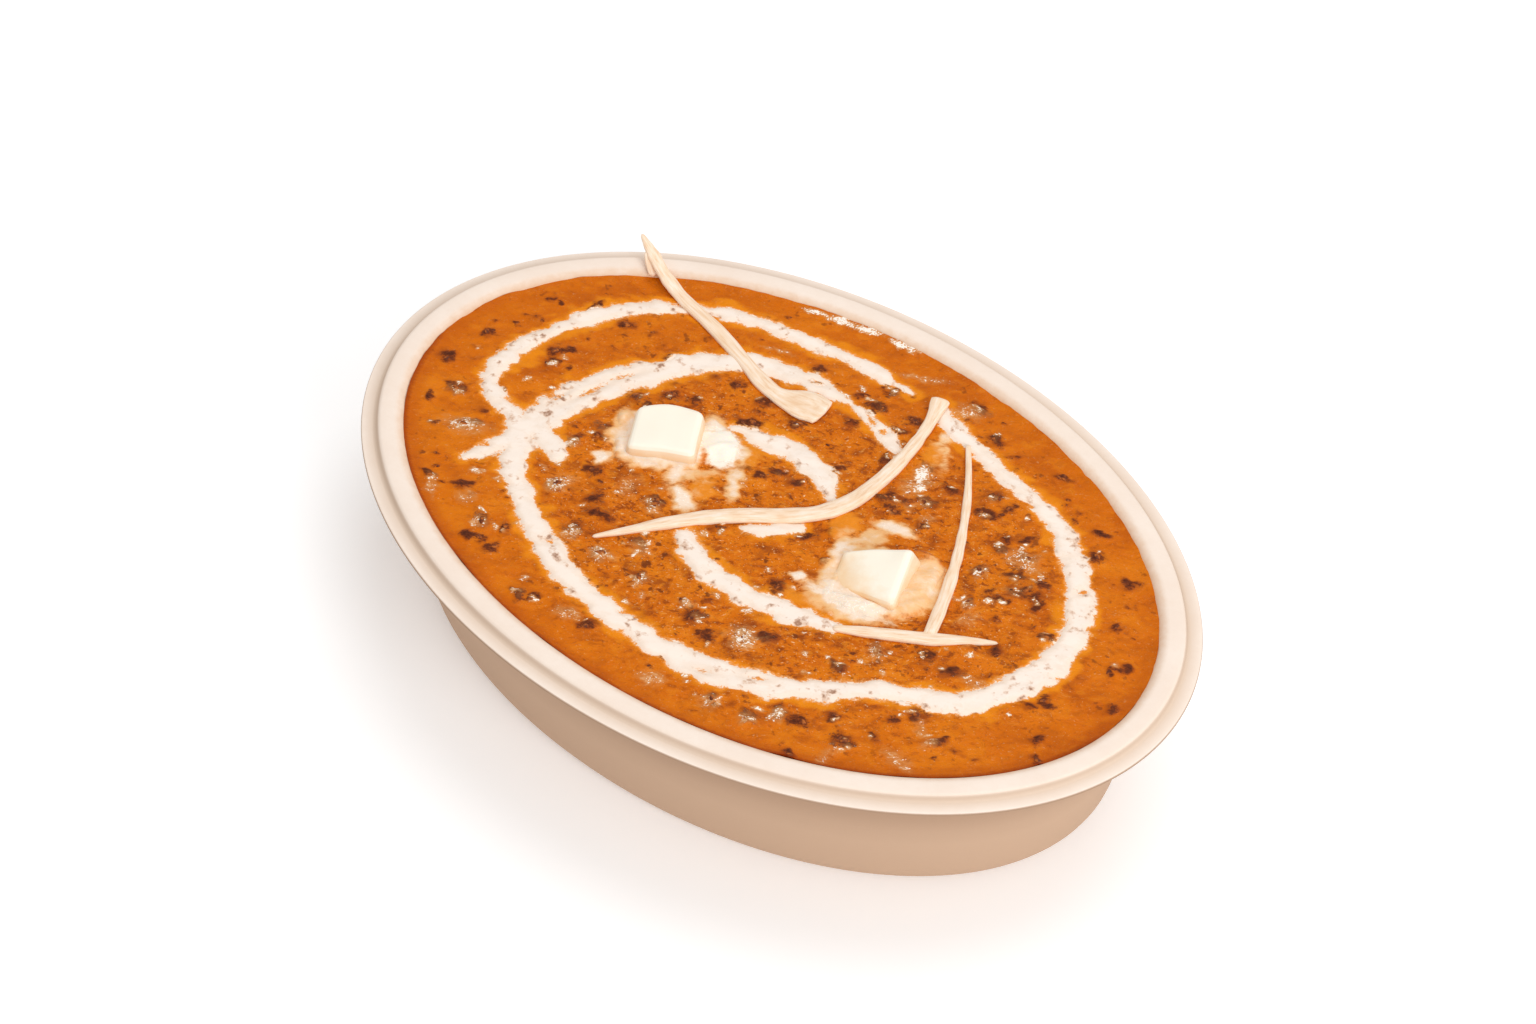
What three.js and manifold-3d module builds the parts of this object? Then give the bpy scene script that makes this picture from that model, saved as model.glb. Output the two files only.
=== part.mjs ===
// Dal makhani in an oval takeaway bowl of pressed plant fibre. The dal fills the bowl to just
// under its rim; a swirl of cream, two melting pats of butter and four slivers of ginger lie
// in its surface. Millimetres, +Z up. The origin is under the middle of the bowl, on the table,
// and the long axis of the bowl is X.

import * as THREE from 'three';
import { RoundedBoxGeometry } from 'three/addons/geometries/RoundedBoxGeometry.js';
import { mergeVertices } from 'three/addons/utils/BufferGeometryUtils.js';
import Module from 'manifold-3d';

const wasm = await Module();
wasm.setup();

// Bowl
const bowlLength = 222;
const bowlWidth = 158;
const bowlHeight = 45;
const sheet = 1; // thickness of the pressed fibre
const flangeWidth = 2.7; // flat lip outside the raised ridge
const flangeDrop = 1.8; // the lip lies this far below the ridge
const ridgeOuter = 4.9; // inward from the lip's edge to the ridge's outer side
const ridgeInner = 7.8; // and to the start of the shoulder into the bowl
const shoulderRadius = 3.2;
const wallDraft = THREE.MathUtils.degToRad(8.5); // lean of the wall
const cornerRadius = 7; // between wall and floor
const turns = 48; // facets round the oval

// Contents
const gap = 0.3; // clearance between neighbouring pieces
const room = 1.3 * gap; // how much larger each room is, so that slanting faces keep the gap
const level = 43.4; // surface of the dal
const creamRise = 0.5; // cream above the dal
const creamDepth = 1.7; // and below it
const butterThickness = 8;
const butterRound = 1.6;
const slump = 0.12; // share that a pat's foot has spread
const meltThickness = 0.8; // melted butter round a pat
const topShare = 0.8; // a sliver's upper face is this much of its lower one
const mergeStep = 1e-3;

const degrees = THREE.MathUtils.degToRad;

const halfWidth = bowlWidth / 2;
const ovalExtra = (bowlLength - bowlWidth) / 2; // how much longer than wide, each side
const flangeHeight = bowlHeight - flangeDrop;
const shoulderX = halfWidth - ridgeInner;
const shoulderZ = bowlHeight - shoulderRadius;
const wallTopX = shoulderX - shoulderRadius * Math.cos(wallDraft);
const wallTopZ = shoulderZ + shoulderRadius * Math.sin(wallDraft);
const wallFootZ = sheet + cornerRadius * (1 - Math.sin(wallDraft));
const wallFootX = wallTopX - (wallTopZ - wallFootZ) * Math.tan(wallDraft);
const floorHalf = wallFootX - cornerRadius * Math.cos(wallDraft);

// ---- geometry helpers ----

// Shared vertices joined, triangles without area dropped, position only.
function tidy(geometry) {
  const bare = new THREE.BufferGeometry();
  bare.setAttribute('position', geometry.getAttribute('position').clone());
  if (geometry.index) bare.setIndex(geometry.index.clone());
  const merged = mergeVertices(bare, mergeStep);
  const from = merged.index.array;
  const kept = [];
  for (let i = 0; i < from.length; i += 3) {
    const [a, b, c] = [from[i], from[i + 1], from[i + 2]];
    if (a !== b && b !== c && c !== a) kept.push(a, b, c);
  }
  merged.setIndex(kept);
  return merged;
}

function solidOf(geometry) {
  const bare = tidy(geometry);
  return new wasm.Manifold(new wasm.Mesh({
    numProp: 3,
    vertProperties: bare.getAttribute('position').array,
    triVerts: Uint32Array.from(bare.index.array),
  }));
}

function geometryOf(solid) {
  const mesh = solid.getMesh();
  const geometry = new THREE.BufferGeometry();
  geometry.setAttribute('position', new THREE.BufferAttribute(mesh.vertProperties, mesh.numProp));
  geometry.setIndex(new THREE.BufferAttribute(mesh.triVerts, 1));
  return geometry;
}

// A profile turned round Z, then drawn out along X into an oval of even wall width.
// Over the flat floor the extra length fades out toward the axis.
function ovalTurn(points) {
  const geometry = new THREE.LatheGeometry(points, turns);
  geometry.rotateX(Math.PI / 2);
  const place = geometry.getAttribute('position');
  for (let i = 0; i < place.count; i += 1) {
    const radius = Math.hypot(place.getX(i), place.getY(i));
    place.setX(i, place.getX(i) * (1 + ovalExtra / Math.max(radius, floorHalf)));
  }
  return tidy(geometry);
}

// A strip along a smooth curve, larger all round by grow. Each stop is
// [x, y, z, half width, half thickness], and section(angle) gives each corner's place across
// and up, from -1 to 1.
function strip(stops, steps, corners, section, grow) {
  const spine = new THREE.CatmullRomCurve3(stops.map(([x, y, z]) => new THREE.Vector3(x, y, z)));
  const girth = new THREE.SplineCurve(stops.map((stop) => new THREE.Vector2(stop[3], stop[4])));
  const places = [];
  const faces = [];
  for (let i = 0; i <= steps; i += 1) {
    const along = spine.getTangent(i / steps);
    const past = grow * ((i === steps) - (i === 0));
    const centre = spine.getPoint(i / steps).addScaledVector(along, past);
    const size = girth.getPoint(i / steps).addScalar(grow);
    const side = new THREE.Vector2(-along.y, along.x).normalize();
    for (let j = 0; j < corners; j += 1) {
      const [across, up] = section((2 * Math.PI * (j + 0.5)) / corners);
      const reach = across * size.x;
      places.push(centre.x + side.x * reach, centre.y + side.y * reach, centre.z + up * size.y);
    }
  }
  for (let i = 0; i < steps; i += 1) {
    for (let j = 0; j < corners; j += 1) {
      const next = (j + 1) % corners;
      const a = i * corners + j;
      const b = i * corners + next;
      faces.push(a, b, b + corners, a, b + corners, a + corners);
    }
  }
  const last = steps * corners;
  for (let j = 1; j < corners - 1; j += 1) {
    faces.push(0, j + 1, j);
    faces.push(last, last + j, last + j + 1);
  }
  const geometry = new THREE.BufferGeometry();
  geometry.setAttribute('position', new THREE.Float32BufferAttribute(places, 3));
  geometry.setIndex(faces);
  return geometry;
}

// ---- bowl ----

// One face of the sheet, from the axis over the floor and up the wall to the top of the
// shoulder. A positive offset lies outside the bowl's inner face, a negative one inside it.
function wallLine(offset, topAngle) {
  const line = new THREE.Path();
  line.moveTo(0, sheet - offset);
  line.lineTo(floorHalf, sheet - offset);
  line.absarc(floorHalf, sheet + cornerRadius, cornerRadius + offset, -Math.PI / 2, -wallDraft);
  line.absarc(shoulderX, shoulderZ, shoulderRadius - offset, Math.PI - wallDraft, topAngle, true);
  return line;
}

// The same face carried on over the ridge and down its step to the edge of the lip.
function rimLine(offset) {
  const line = wallLine(offset, Math.PI / 2);
  const ridgeX = halfWidth - ridgeOuter;
  const stepX = halfWidth - flangeWidth;
  const middle = (ridgeX + stepX) / 2;
  const ridgeTop = bowlHeight - offset;
  const flangeTop = flangeHeight - offset;
  line.lineTo(ridgeX, ridgeTop);
  line.bezierCurveTo(middle, ridgeTop, middle, flangeTop, stepX, flangeTop);
  line.lineTo(halfWidth, flangeTop);
  return line.getPoints(2);
}

function makeBowl() {
  return ovalTurn([...rimLine(sheet), ...rimLine(0).reverse()]);
}

// ---- dal ----

// Fills the bowl with a small clearance, up to its level surface.
function makeDalBody() {
  const waterline = Math.PI - Math.asin((level - shoulderZ) / (shoulderRadius + gap));
  const line = wallLine(-gap, waterline);
  line.lineTo(0, level);
  return ovalTurn(line.getPoints(2));
}

// ---- cream ----

// Poured cream: a low crown above the dal, and a deeper belly sunk in it.
function creamStroke(stops, steps, grow) {
  const belly = (creamDepth + grow) / (creamRise + grow);
  const section = (angle) => [
    Math.cos(angle),
    Math.sin(angle) * (Math.sin(angle) > 0 ? 1 : belly),
  ];
  return strip(stops.map(([x, y, half]) => [x, y, level, half, creamRise]), steps, 6, section, grow);
}

// The steps and the stops [x, y, half width] of each stroke, in the order that it was poured.
const creamStrokes = {
  ring: [56, [
    [-2, 55.2, 0.6], [-16, 55, 2], [-33, 52.6, 2], [-50, 48.8, 2], [-64, 40, 1.9],
    [-74.5, 29, 2.2], [-80.8, 14, 2.1], [-83, -1, 2.7], [-79.7, -11.7, 2.1], [-69, -16, 1.9],
    [-61, -21.5, 3.4], [-55, -31, 2.9], [-41, -40, 3], [-25.6, -47.8, 2.9], [-8.5, -50.9, 2.6],
    [10, -51.4, 3.2], [27, -47.8, 3.8], [41, -40, 2.9], [55, -28, 2.8], [69.5, -19.6, 3],
    [77, -5, 3.4], [78, 9, 3.4], [73, 23, 3.2], [62.5, 34.8, 3.1], [49.8, 43.2, 2.5],
    [33.5, 47.2, 1.9], [20, 50.2, 1.9], [13, 53, 0.8],
  ]],
  secondTurn: [26, [
    [-66.4, -33.9, 0.4], [-64, -25, 1.6], [-62.5, -16, 3.6], [-62, -6, 4.5], [-60, 4, 4.9],
    [-55.5, 14, 4], [-50, 24, 3.4], [-44, 32, 3.3], [-36, 38, 3], [-26, 41.3, 2.9],
    [-16, 42.6, 3], [-6, 41.2, 3], [3, 38.6, 2], [9.5, 34.8, 0.8],
  ]],
  drop: [4, [[-61, -16.2, 2.2], [-55, -17, 2.6], [-51, -19.5, 1.6]]],
  innerUpper: [12, [
    [-26, 16.4, 0.9], [-18.3, 18, 2.9], [-11.5, 19.4, 3.2], [-4.5, 19, 3.6], [1.5, 17, 3.1],
    [6.6, 13.8, 1.6],
  ]],
  innerLower: [16, [
    [-11, -20, 1.2], [-6.4, -23, 2.3], [0, -25.2, 3], [8, -25.6, 2.8], [15.4, -25, 3],
    [22.5, -23.4, 2.8], [30, -21.4, 2.1], [35, -19, 0.9],
  ]],
  underMiddle: [8, [[-2.5, -9, 1], [1.5, -6.4, 2.3], [6, -2.6, 2.4], [9.4, 1.4, 1.1]]],
};

// ---- butter ----

// A cut pat with soft edges. Tilt raises its +X side and lean its +Y side, its foot has slumped
// outward, and one end is narrower where more of it has melted.
function butterPat({ x, y, top, length, width, turn, tilt, lean, taper }, grow) {
  const long = length + 2 * grow;
  const wide = width + 2 * grow;
  const thick = butterThickness + 2 * grow;
  const pat = new RoundedBoxGeometry(long, wide, thick, 2, butterRound);
  const place = pat.getAttribute('position');
  for (let i = 0; i < place.count; i += 1) {
    const spread = 1 + slump * (0.5 - place.getZ(i) / thick);
    const end = 1 - taper * (0.5 - place.getX(i) / long);
    place.setX(i, place.getX(i) * spread);
    place.setY(i, place.getY(i) * spread * end);
  }
  pat.translate(0, 0, grow - thick / 2);
  pat.rotateY(-tilt);
  pat.rotateX(lean);
  pat.rotateZ(turn);
  pat.translate(x, y, level + top);
  return pat;
}

// Melted butter: a flat lens lying in the surface.
function meltPool({ x, y, length, width, turn }, grow) {
  const pool = new THREE.SphereGeometry(1, 16, 6);
  pool.rotateX(Math.PI / 2);
  pool.scale(length / 2 + grow, width / 2 + grow, meltThickness + grow);
  pool.rotateZ(turn);
  pool.translate(x, y, level);
  return pool;
}

const butterPieces = {
  left: [
    [butterPat, {
      x: -35.3, y: 1.5, top: 3.6, length: 16.4, width: 15, turn: degrees(30), tilt: degrees(3), lean: 0,
      taper: 0.05,
    }],
    [meltPool, { x: -37, y: 2.5, length: 23, width: 21, turn: degrees(30) }],
    [meltPool, { x: -24, y: 8.4, length: 15, width: 11, turn: degrees(40) }],
  ],
  right: [
    [butterPat, {
      x: 29.9, y: -2.3, top: 2.4, length: 17, width: 16.8, turn: degrees(20), tilt: degrees(14),
      lean: degrees(11), taper: 0.4,
    }],
    [meltPool, { x: 32, y: -2, length: 25, width: 27, turn: degrees(21) }],
  ],
};

// ---- ginger ----

// A cut sliver: four-sided, tapered and bent along its length. Each stop is
// [x, y, height of its middle above the dal, half width, half thickness].
function sliver(stops, steps, grow) {
  const section = (angle) => {
    const up = Math.sign(Math.sin(angle));
    return [Math.sign(Math.cos(angle)) * (up > 0 ? topShare : 1), up];
  };
  return strip(stops.map(([x, y, rise, ...size]) => [x, y, level + rise, ...size]), steps, 4, section, grow);
}

const gingerPieces = {
  // Leans out over the rim at one end, and has a flat spoon-shaped end on the dal. A split
  // prong comes down from it to the edge of the dal.
  upper: [
    [24, [
      [-84, 50, 6.5, 0.35, 0.35], [-81.2, 48.9, 5.5, 1.1, 0.6], [-78, 47.8, 4.3, 1.6, 0.7],
      [-74.4, 46.3, 3, 1.8, 0.8], [-70, 45, 1.6, 1.8, 0.8], [-64, 43.4, 0.6, 1.9, 0.8],
      [-52, 40.6, 0.4, 2, 0.8], [-40, 36.6, 0.4, 2, 0.8], [-30.5, 33.2, 0.4, 2.2, 0.8],
      [-24.5, 32.4, 0.4, 2.7, 0.8], [-17.5, 34, 0.5, 4.8, 0.8], [-12.4, 34.6, 0.7, 3.8, 0.6],
    ]],
    [4, [[-79, 47.9, 4.4, 1.2, 0.5], [-77.4, 46, 3.1, 1.1, 0.45], [-75.4, 43.8, 1.1, 0.8, 0.4]]],
  ],
  middle: [
    [26, [
      [-26.8, -35.2, 0.2, 0.4, 0.4], [-21.6, -27.6, 0.3, 1.2, 0.7], [-16.4, -19.8, 0.4, 1.8, 0.9],
      [-10.6, -12, 0.4, 2.1, 0.9], [-4, -5, 0.4, 2.2, 0.9], [2.6, 0.8, 0.4, 2.3, 0.9],
      [8.2, 7.4, 0.4, 2.4, 0.9], [11.2, 15.5, 0.4, 2.3, 0.9], [11.8, 24.5, 0.4, 2, 0.9],
      [11.3, 33.5, 0.4, 1.8, 0.9], [10.2, 41.5, 0.5, 1.6, 0.8], [8.4, 49.5, 0.8, 1.6, 0.8],
      [5.8, 57.4, 1.6, 2.3, 0.7],
    ]],
  ],
  right: [
    [14, [
      [19.8, 49.8, 0.4, 0.6, 0.5], [26, 41.8, 0.4, 0.8, 0.6], [31.6, 33.8, 0.4, 1, 0.7],
      [36.4, 26, 0.4, 1.1, 0.8], [41.4, 17, 0.4, 1.2, 0.8], [46.6, 6, 0.4, 1.4, 0.8],
      [50.9, -5, 0.4, 1.7, 0.8],
    ]],
  ],
  lower: [
    [12, [
      [34.2, -20.2, 0.2, 0.7, 0.5], [39.5, -16.7, 0.3, 1.2, 0.7], [46, -12.7, 0.3, 1.5, 0.8],
      [53, -8, 0.3, 1.6, 0.8], [59.4, -3, 0.3, 1.2, 0.7], [65.3, 1.3, 0.3, 0.3, 0.4],
    ]],
  ],
};

// ---- fitting the pieces into each other ----

const join = (solids) => solids.reduce((whole, next) => whole.add(next));
const cut = (solid, rooms) => rooms.reduce((rest, next) => rest.subtract(next), solid);

const creamOf = ([steps, stops], grow) => solidOf(creamStroke(stops, steps, grow));
const butterOf = ([make, sizes], grow) => solidOf(make(sizes, grow));
const gingerOf = ([steps, stops], grow) => solidOf(sliver(stops, steps, grow));

const creamRooms = Object.values(creamStrokes).map((stroke) => creamOf(stroke, room));
const butterRooms = Object.values(butterPieces).flat().map((piece) => butterOf(piece, room));
const gingerRooms = Object.values(gingerPieces).flat().map((piece) => gingerOf(piece, room));

// Cream strokes poured into one another, with room for the butter and ginger on them.
function makeCream(...names) {
  const whole = join(names.map((name) => creamOf(creamStrokes[name], 0)));
  return geometryOf(cut(whole, [...gingerRooms, ...butterRooms]));
}

function makeDal() {
  return geometryOf(cut(solidOf(makeDalBody()), [...creamRooms, ...butterRooms, ...gingerRooms]));
}

// ---- materials ----

const finish = (color, roughness) => new THREE.MeshStandardMaterial({ color, roughness, metalness: 0 });
const fibre = finish(0xf6e4d4, 0.85);
const lentilGravy = finish(0xcc6410, 0.45);
const cream = finish(0xf6e9dc, 0.4);
const butter = finish(0xfff6e2, 0.35);
const ginger = finish(0xf5d9b5, 0.5);

// ---- the object ----

const dish = new THREE.Group();

function addPiece(name, geometry, material) {
  const mesh = new THREE.Mesh(geometry, material);
  mesh.name = name;
  dish.add(mesh);
}

addPiece('bowl', makeBowl(), fibre);
addPiece('dal', makeDal(), lentilGravy);
addPiece('cream_ring', makeCream('ring', 'secondTurn', 'drop'), cream);
addPiece('cream_inner_upper', makeCream('innerUpper'), cream);
addPiece('cream_inner_lower', makeCream('innerLower'), cream);
addPiece('cream_under_ginger', makeCream('underMiddle'), cream);
for (const [side, pieces] of Object.entries(butterPieces)) {
  addPiece(`butter_${side}`, geometryOf(join(pieces.map((piece) => butterOf(piece, 0)))), butter);
}
for (const [place, pieces] of Object.entries(gingerPieces)) {
  addPiece(`ginger_${place}`, geometryOf(join(pieces.map((piece) => gingerOf(piece, 0)))), ginger);
}

export default dish;
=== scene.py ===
# Dal makhani in an oval takeaway bowl of pressed plant fibre, with cream, butter and ginger.
# Sizes in the dictionaries are millimetres, x along the bowl and z up from the table.

import math

import bpy
import numpy as np
from mathutils import Matrix, Vector


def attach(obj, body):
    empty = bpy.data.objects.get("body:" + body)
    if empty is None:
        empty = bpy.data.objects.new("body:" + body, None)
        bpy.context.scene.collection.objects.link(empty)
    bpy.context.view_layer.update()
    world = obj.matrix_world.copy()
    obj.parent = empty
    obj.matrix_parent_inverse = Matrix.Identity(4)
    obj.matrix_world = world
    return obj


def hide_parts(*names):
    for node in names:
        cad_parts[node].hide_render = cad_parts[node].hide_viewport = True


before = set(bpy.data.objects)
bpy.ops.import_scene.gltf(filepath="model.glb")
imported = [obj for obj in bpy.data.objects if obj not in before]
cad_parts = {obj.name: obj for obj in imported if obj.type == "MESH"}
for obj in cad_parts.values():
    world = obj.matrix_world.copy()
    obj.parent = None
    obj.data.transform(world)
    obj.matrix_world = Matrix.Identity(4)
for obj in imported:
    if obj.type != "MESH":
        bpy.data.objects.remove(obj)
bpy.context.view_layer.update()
mm = 0.001


def linearColour(hexText):
    parts = [int(hexText[i : i + 2], 16) / 255 for i in (0, 2, 4)]
    return [c / 12.92 if c <= 0.04045 else ((c + 0.055) / 1.055) ** 2.4 for c in parts] + [1]


# Adds a node. Settings that start with a small letter are the node's own, the rest are sockets.
def addNode(tree, kind, settings=None, links=None):
    node = tree.nodes.new(kind)
    for name, value in (settings or {}).items():
        if isinstance(name, str) and name[0].islower():
            setattr(node, name, value)
        else:
            node.inputs[name].default_value = value
    for name, source in (links or {}).items():
        tree.links.new(source, node.inputs[name])
    return node


def newMaterial(name):
    material = bpy.data.materials.new(name)
    material.use_nodes = True
    material.node_tree.nodes.clear()
    return material, material.node_tree


# A colour with others laid over it, each row [source, where it begins, where it is full, how
# strong it is, colour].
def paint(tree, base, layers):
    colour = addNode(tree, "ShaderNodeRGB").outputs[0]
    colour.default_value = linearColour(base)
    for source, start, full, strength, over in layers:
        spread = {"From Min": start, "From Max": full, "To Max": strength}
        share = addNode(tree, "ShaderNodeMapRange", spread, {"Value": source}).outputs[0]
        layer = {"data_type": "RGBA", 7: linearColour(over)}
        colour = addNode(tree, "ShaderNodeMix", layer, {0: share, 6: colour}).outputs[2]
    return colour


# Ends a material: bumps one over another, each row [height, strength, depth in mm], and the shader.
def finishMaterial(material, colour, bumps, settings):
    tree = material.node_tree
    links = {"Base Color": colour}
    for height, strength, depth in bumps:
        below = {"Normal": links["Normal"]} if "Normal" in links else {}
        relief = {"Strength": strength, "Distance": depth * mm}
        links["Normal"] = addNode(tree, "ShaderNodeBump", relief, {"Height": height, **below}).outputs[0]
    shader = addNode(tree, "ShaderNodeBsdfPrincipled", settings, links)
    addNode(tree, "ShaderNodeOutputMaterial", links={"Surface": shader.outputs[0]})
    return material


def clearSelection():
    if bpy.context.object and bpy.context.object.mode != "OBJECT":
        bpy.ops.object.mode_set(mode="OBJECT")
    bpy.ops.object.select_all(action="DESELECT")


def placesOf(piece):
    places = np.zeros(len(piece.data.vertices) * 3, np.float32)
    piece.data.vertices.foreach_get("co", places)
    return places.reshape(-1, 3) / mm


def normalsOf(piece):
    normals = np.zeros(len(piece.data.vertices) * 3, np.float32)
    piece.data.vertices.foreach_get("normal", normals)
    return normals.reshape(-1, 3)


def setPlaces(piece, places):
    piece.data.vertices.foreach_set("co", (np.asarray(places) * mm).astype(np.float32).ravel())
    piece.data.update()


def selectVerts(piece, chosen):
    bpy.ops.object.mode_set(mode="EDIT")
    bpy.ops.mesh.select_mode(type="VERT")
    bpy.ops.mesh.select_all(action="DESELECT")
    bpy.ops.object.mode_set(mode="OBJECT")
    piece.data.vertices.foreach_set("select", np.asarray(chosen, bool))
    bpy.ops.object.mode_set(mode="EDIT")


# Keeps a number at each point of a piece, for its material to read.
def storeField(piece, name, values):
    field = piece.data.attributes.new(name, "FLOAT", "POINT")
    field.data.foreach_set("value", np.asarray(values, np.float32))


def applyModifiers(piece):
    bpy.context.view_layer.objects.active = piece
    for modifier in list(piece.modifiers):
        bpy.ops.object.modifier_apply(modifier=modifier.name)


def shadeSmooth(piece, angle=None):
    clearSelection()
    piece.select_set(True)
    bpy.context.view_layer.objects.active = piece
    if angle is None:
        bpy.ops.object.shade_smooth()
    else:
        bpy.ops.object.shade_smooth_by_angle(angle=math.radians(angle))


def handOver(piece, material, nodes=()):
    piece.data.materials.clear()
    piece.data.materials.append(material)
    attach(piece, "root")
    if nodes:
        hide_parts(*nodes)


# Smooth unevenness from 0 to 1 whose humps are about one size apart, drawn out along a turned axis.
# It repeats after 97 humps, and the shifts keep its seams off the middle of the bowl.
def unevenness(x, y, size, seed, stretch=1.0, turn=0.0):
    table = np.random.default_rng(seed).random((97, 97))
    c, s = math.cos(math.radians(turn)), math.sin(math.radians(turn))
    u = (x * c + y * s) / (size * stretch) + 300.37
    v = (y * c - x * s) / size + 300.71
    iu, iv = np.floor(u).astype(int), np.floor(v).astype(int)
    fu, fv = u - iu, v - iv
    fu, fv = fu * fu * (3 - 2 * fu), fv * fv * (3 - 2 * fv)
    near = table[iu % 97, iv % 97] * (1 - fv) + table[iu % 97, (iv + 1) % 97] * fv
    far = table[(iu + 1) % 97, iv % 97] * (1 - fv) + table[(iu + 1) % 97, (iv + 1) % 97] * fv
    return near * (1 - fu) + far * fu


def ramp(values, low, high):
    share = np.clip((values - low) / (high - low), 0, 1)
    return share * share * (3 - 2 * share)


# Points on a smooth curve through the stops, with every other number of a stop carried along.
def smoothStops(stops, parts):
    rows = np.array(stops, float)
    rows = np.vstack([2 * rows[0] - rows[1], rows, 2 * rows[-1] - rows[-2]])
    out = []
    for i in range(1, len(rows) - 2):
        a, b, c, d = rows[i - 1 : i + 3]
        bend = 2 * a - 5 * b + 4 * c - d
        twist = 3 * b - a - 3 * c + d
        for t in np.arange(parts) / parts:
            out.append(0.5 * (2 * b + (c - a) * t + bend * t**2 + twist * t**3))
    out.append(rows[-2])
    return np.array(out)


bowl = {
    "length": 222,
    "width": 158,
    "height": 45,
    "sheet": 1,
    "flangeWidth": 2.7,
    "flangeDrop": 1.8,
    "ridgeOuter": 4.9,
    "ridgeInner": 7.8,
    "shoulder": 3.2,
    "draft": 8.5,
    "corner": 7,
    "edge": 0.45,
    "facets": 224,
    "lipShade": (17, 35),
    "groove": 0.6,
    "grooveWidth": 0.9,
}
level = 43.4  # the dal's surface above the table

halfWidth = bowl["width"] / 2
ovalExtra = (bowl["length"] - bowl["width"]) / 2
draft = math.radians(bowl["draft"])
shoulderR = halfWidth - bowl["ridgeInner"]
shoulderZ = bowl["height"] - bowl["shoulder"]
wallTopR = shoulderR - bowl["shoulder"] * math.cos(draft)
wallTopZ = shoulderZ + bowl["shoulder"] * math.sin(draft)
wallFootZ = bowl["sheet"] + bowl["corner"] * (1 - math.sin(draft))
wallFootR = wallTopR - (wallTopZ - wallFootZ) * math.tan(draft)
floorHalf = wallFootR - bowl["corner"] * math.cos(draft)


def arc(centre, radius, start, end, steps):
    angles = np.radians(np.linspace(start, end, steps))
    return [(centre[0] + radius * math.cos(a), centre[1] + radius * math.sin(a)) for a in angles]


# One face of the pressed sheet, from the floor out over wall, shoulder, ridge and step to the lip.
def sheetLine(offset):
    sheet, corner, shoulder = bowl["sheet"], bowl["corner"], bowl["shoulder"]
    line = [(floorHalf * share, sheet - offset) for share in (0.25, 0.5, 0.75, 0.93)]
    line += arc((floorHalf, sheet + corner), corner + offset, -90, -bowl["draft"], 9)
    foot, top = line[-1], arc((shoulderR, shoulderZ), shoulder - offset, 180 - bowl["draft"], 90, 9)
    line += [
        (foot[0] + (top[0][0] - foot[0]) * s, foot[1] + (top[0][1] - foot[1]) * s)
        for s in (0.15, 0.3, 0.45, 0.6, 0.75, 0.9)
    ]
    line += top
    ridgeR, stepR = halfWidth - bowl["ridgeOuter"], halfWidth - bowl["flangeWidth"]
    high, low = bowl["height"] - offset, bowl["height"] - bowl["flangeDrop"] - offset
    line += [((shoulderR + ridgeR) / 2, high)]
    for t in np.linspace(0, 1, 9):
        blend = (1 - t) ** 3 + 3 * (1 - t) ** 2 * t
        sideways = (1 - t) ** 3 * ridgeR + 3 * (1 - t) * t * (ridgeR + stepR) / 2 + t**3 * stepR
        line.append((sideways, high * blend + low * (1 - blend)))
    return line


# The dal's half width at a height, up the corner, the wall and the shoulder.
def wallRadius(z):
    if z > wallTopZ:
        return shoulderR - math.sqrt(bowl["shoulder"] ** 2 - (z - shoulderZ) ** 2)
    if z > wallFootZ:
        return wallTopR - (wallTopZ - z) * math.tan(draft)
    drop = bowl["sheet"] + bowl["corner"] - z
    return floorHalf + math.sqrt(bowl["corner"] ** 2 - drop**2)


# Half length and half width of the bowl's oval, which closes to a point in the middle of the floor.
def ovalAxes(r):
    return np.array([r + ovalExtra * min(1, r / floorHalf), r])


# The half width of the oval through each place, found by halving.
def ringRadius(x, y):
    low, high = np.full(len(x), 1.0), np.full(len(x), halfWidth + 1.0)
    for _ in range(16):
        middle = (low + high) / 2
        within = (x / (middle + ovalExtra)) ** 2 + (y / middle) ** 2 < 1
        low, high = np.where(within, low, middle), np.where(within, middle, high)
    return low


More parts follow.
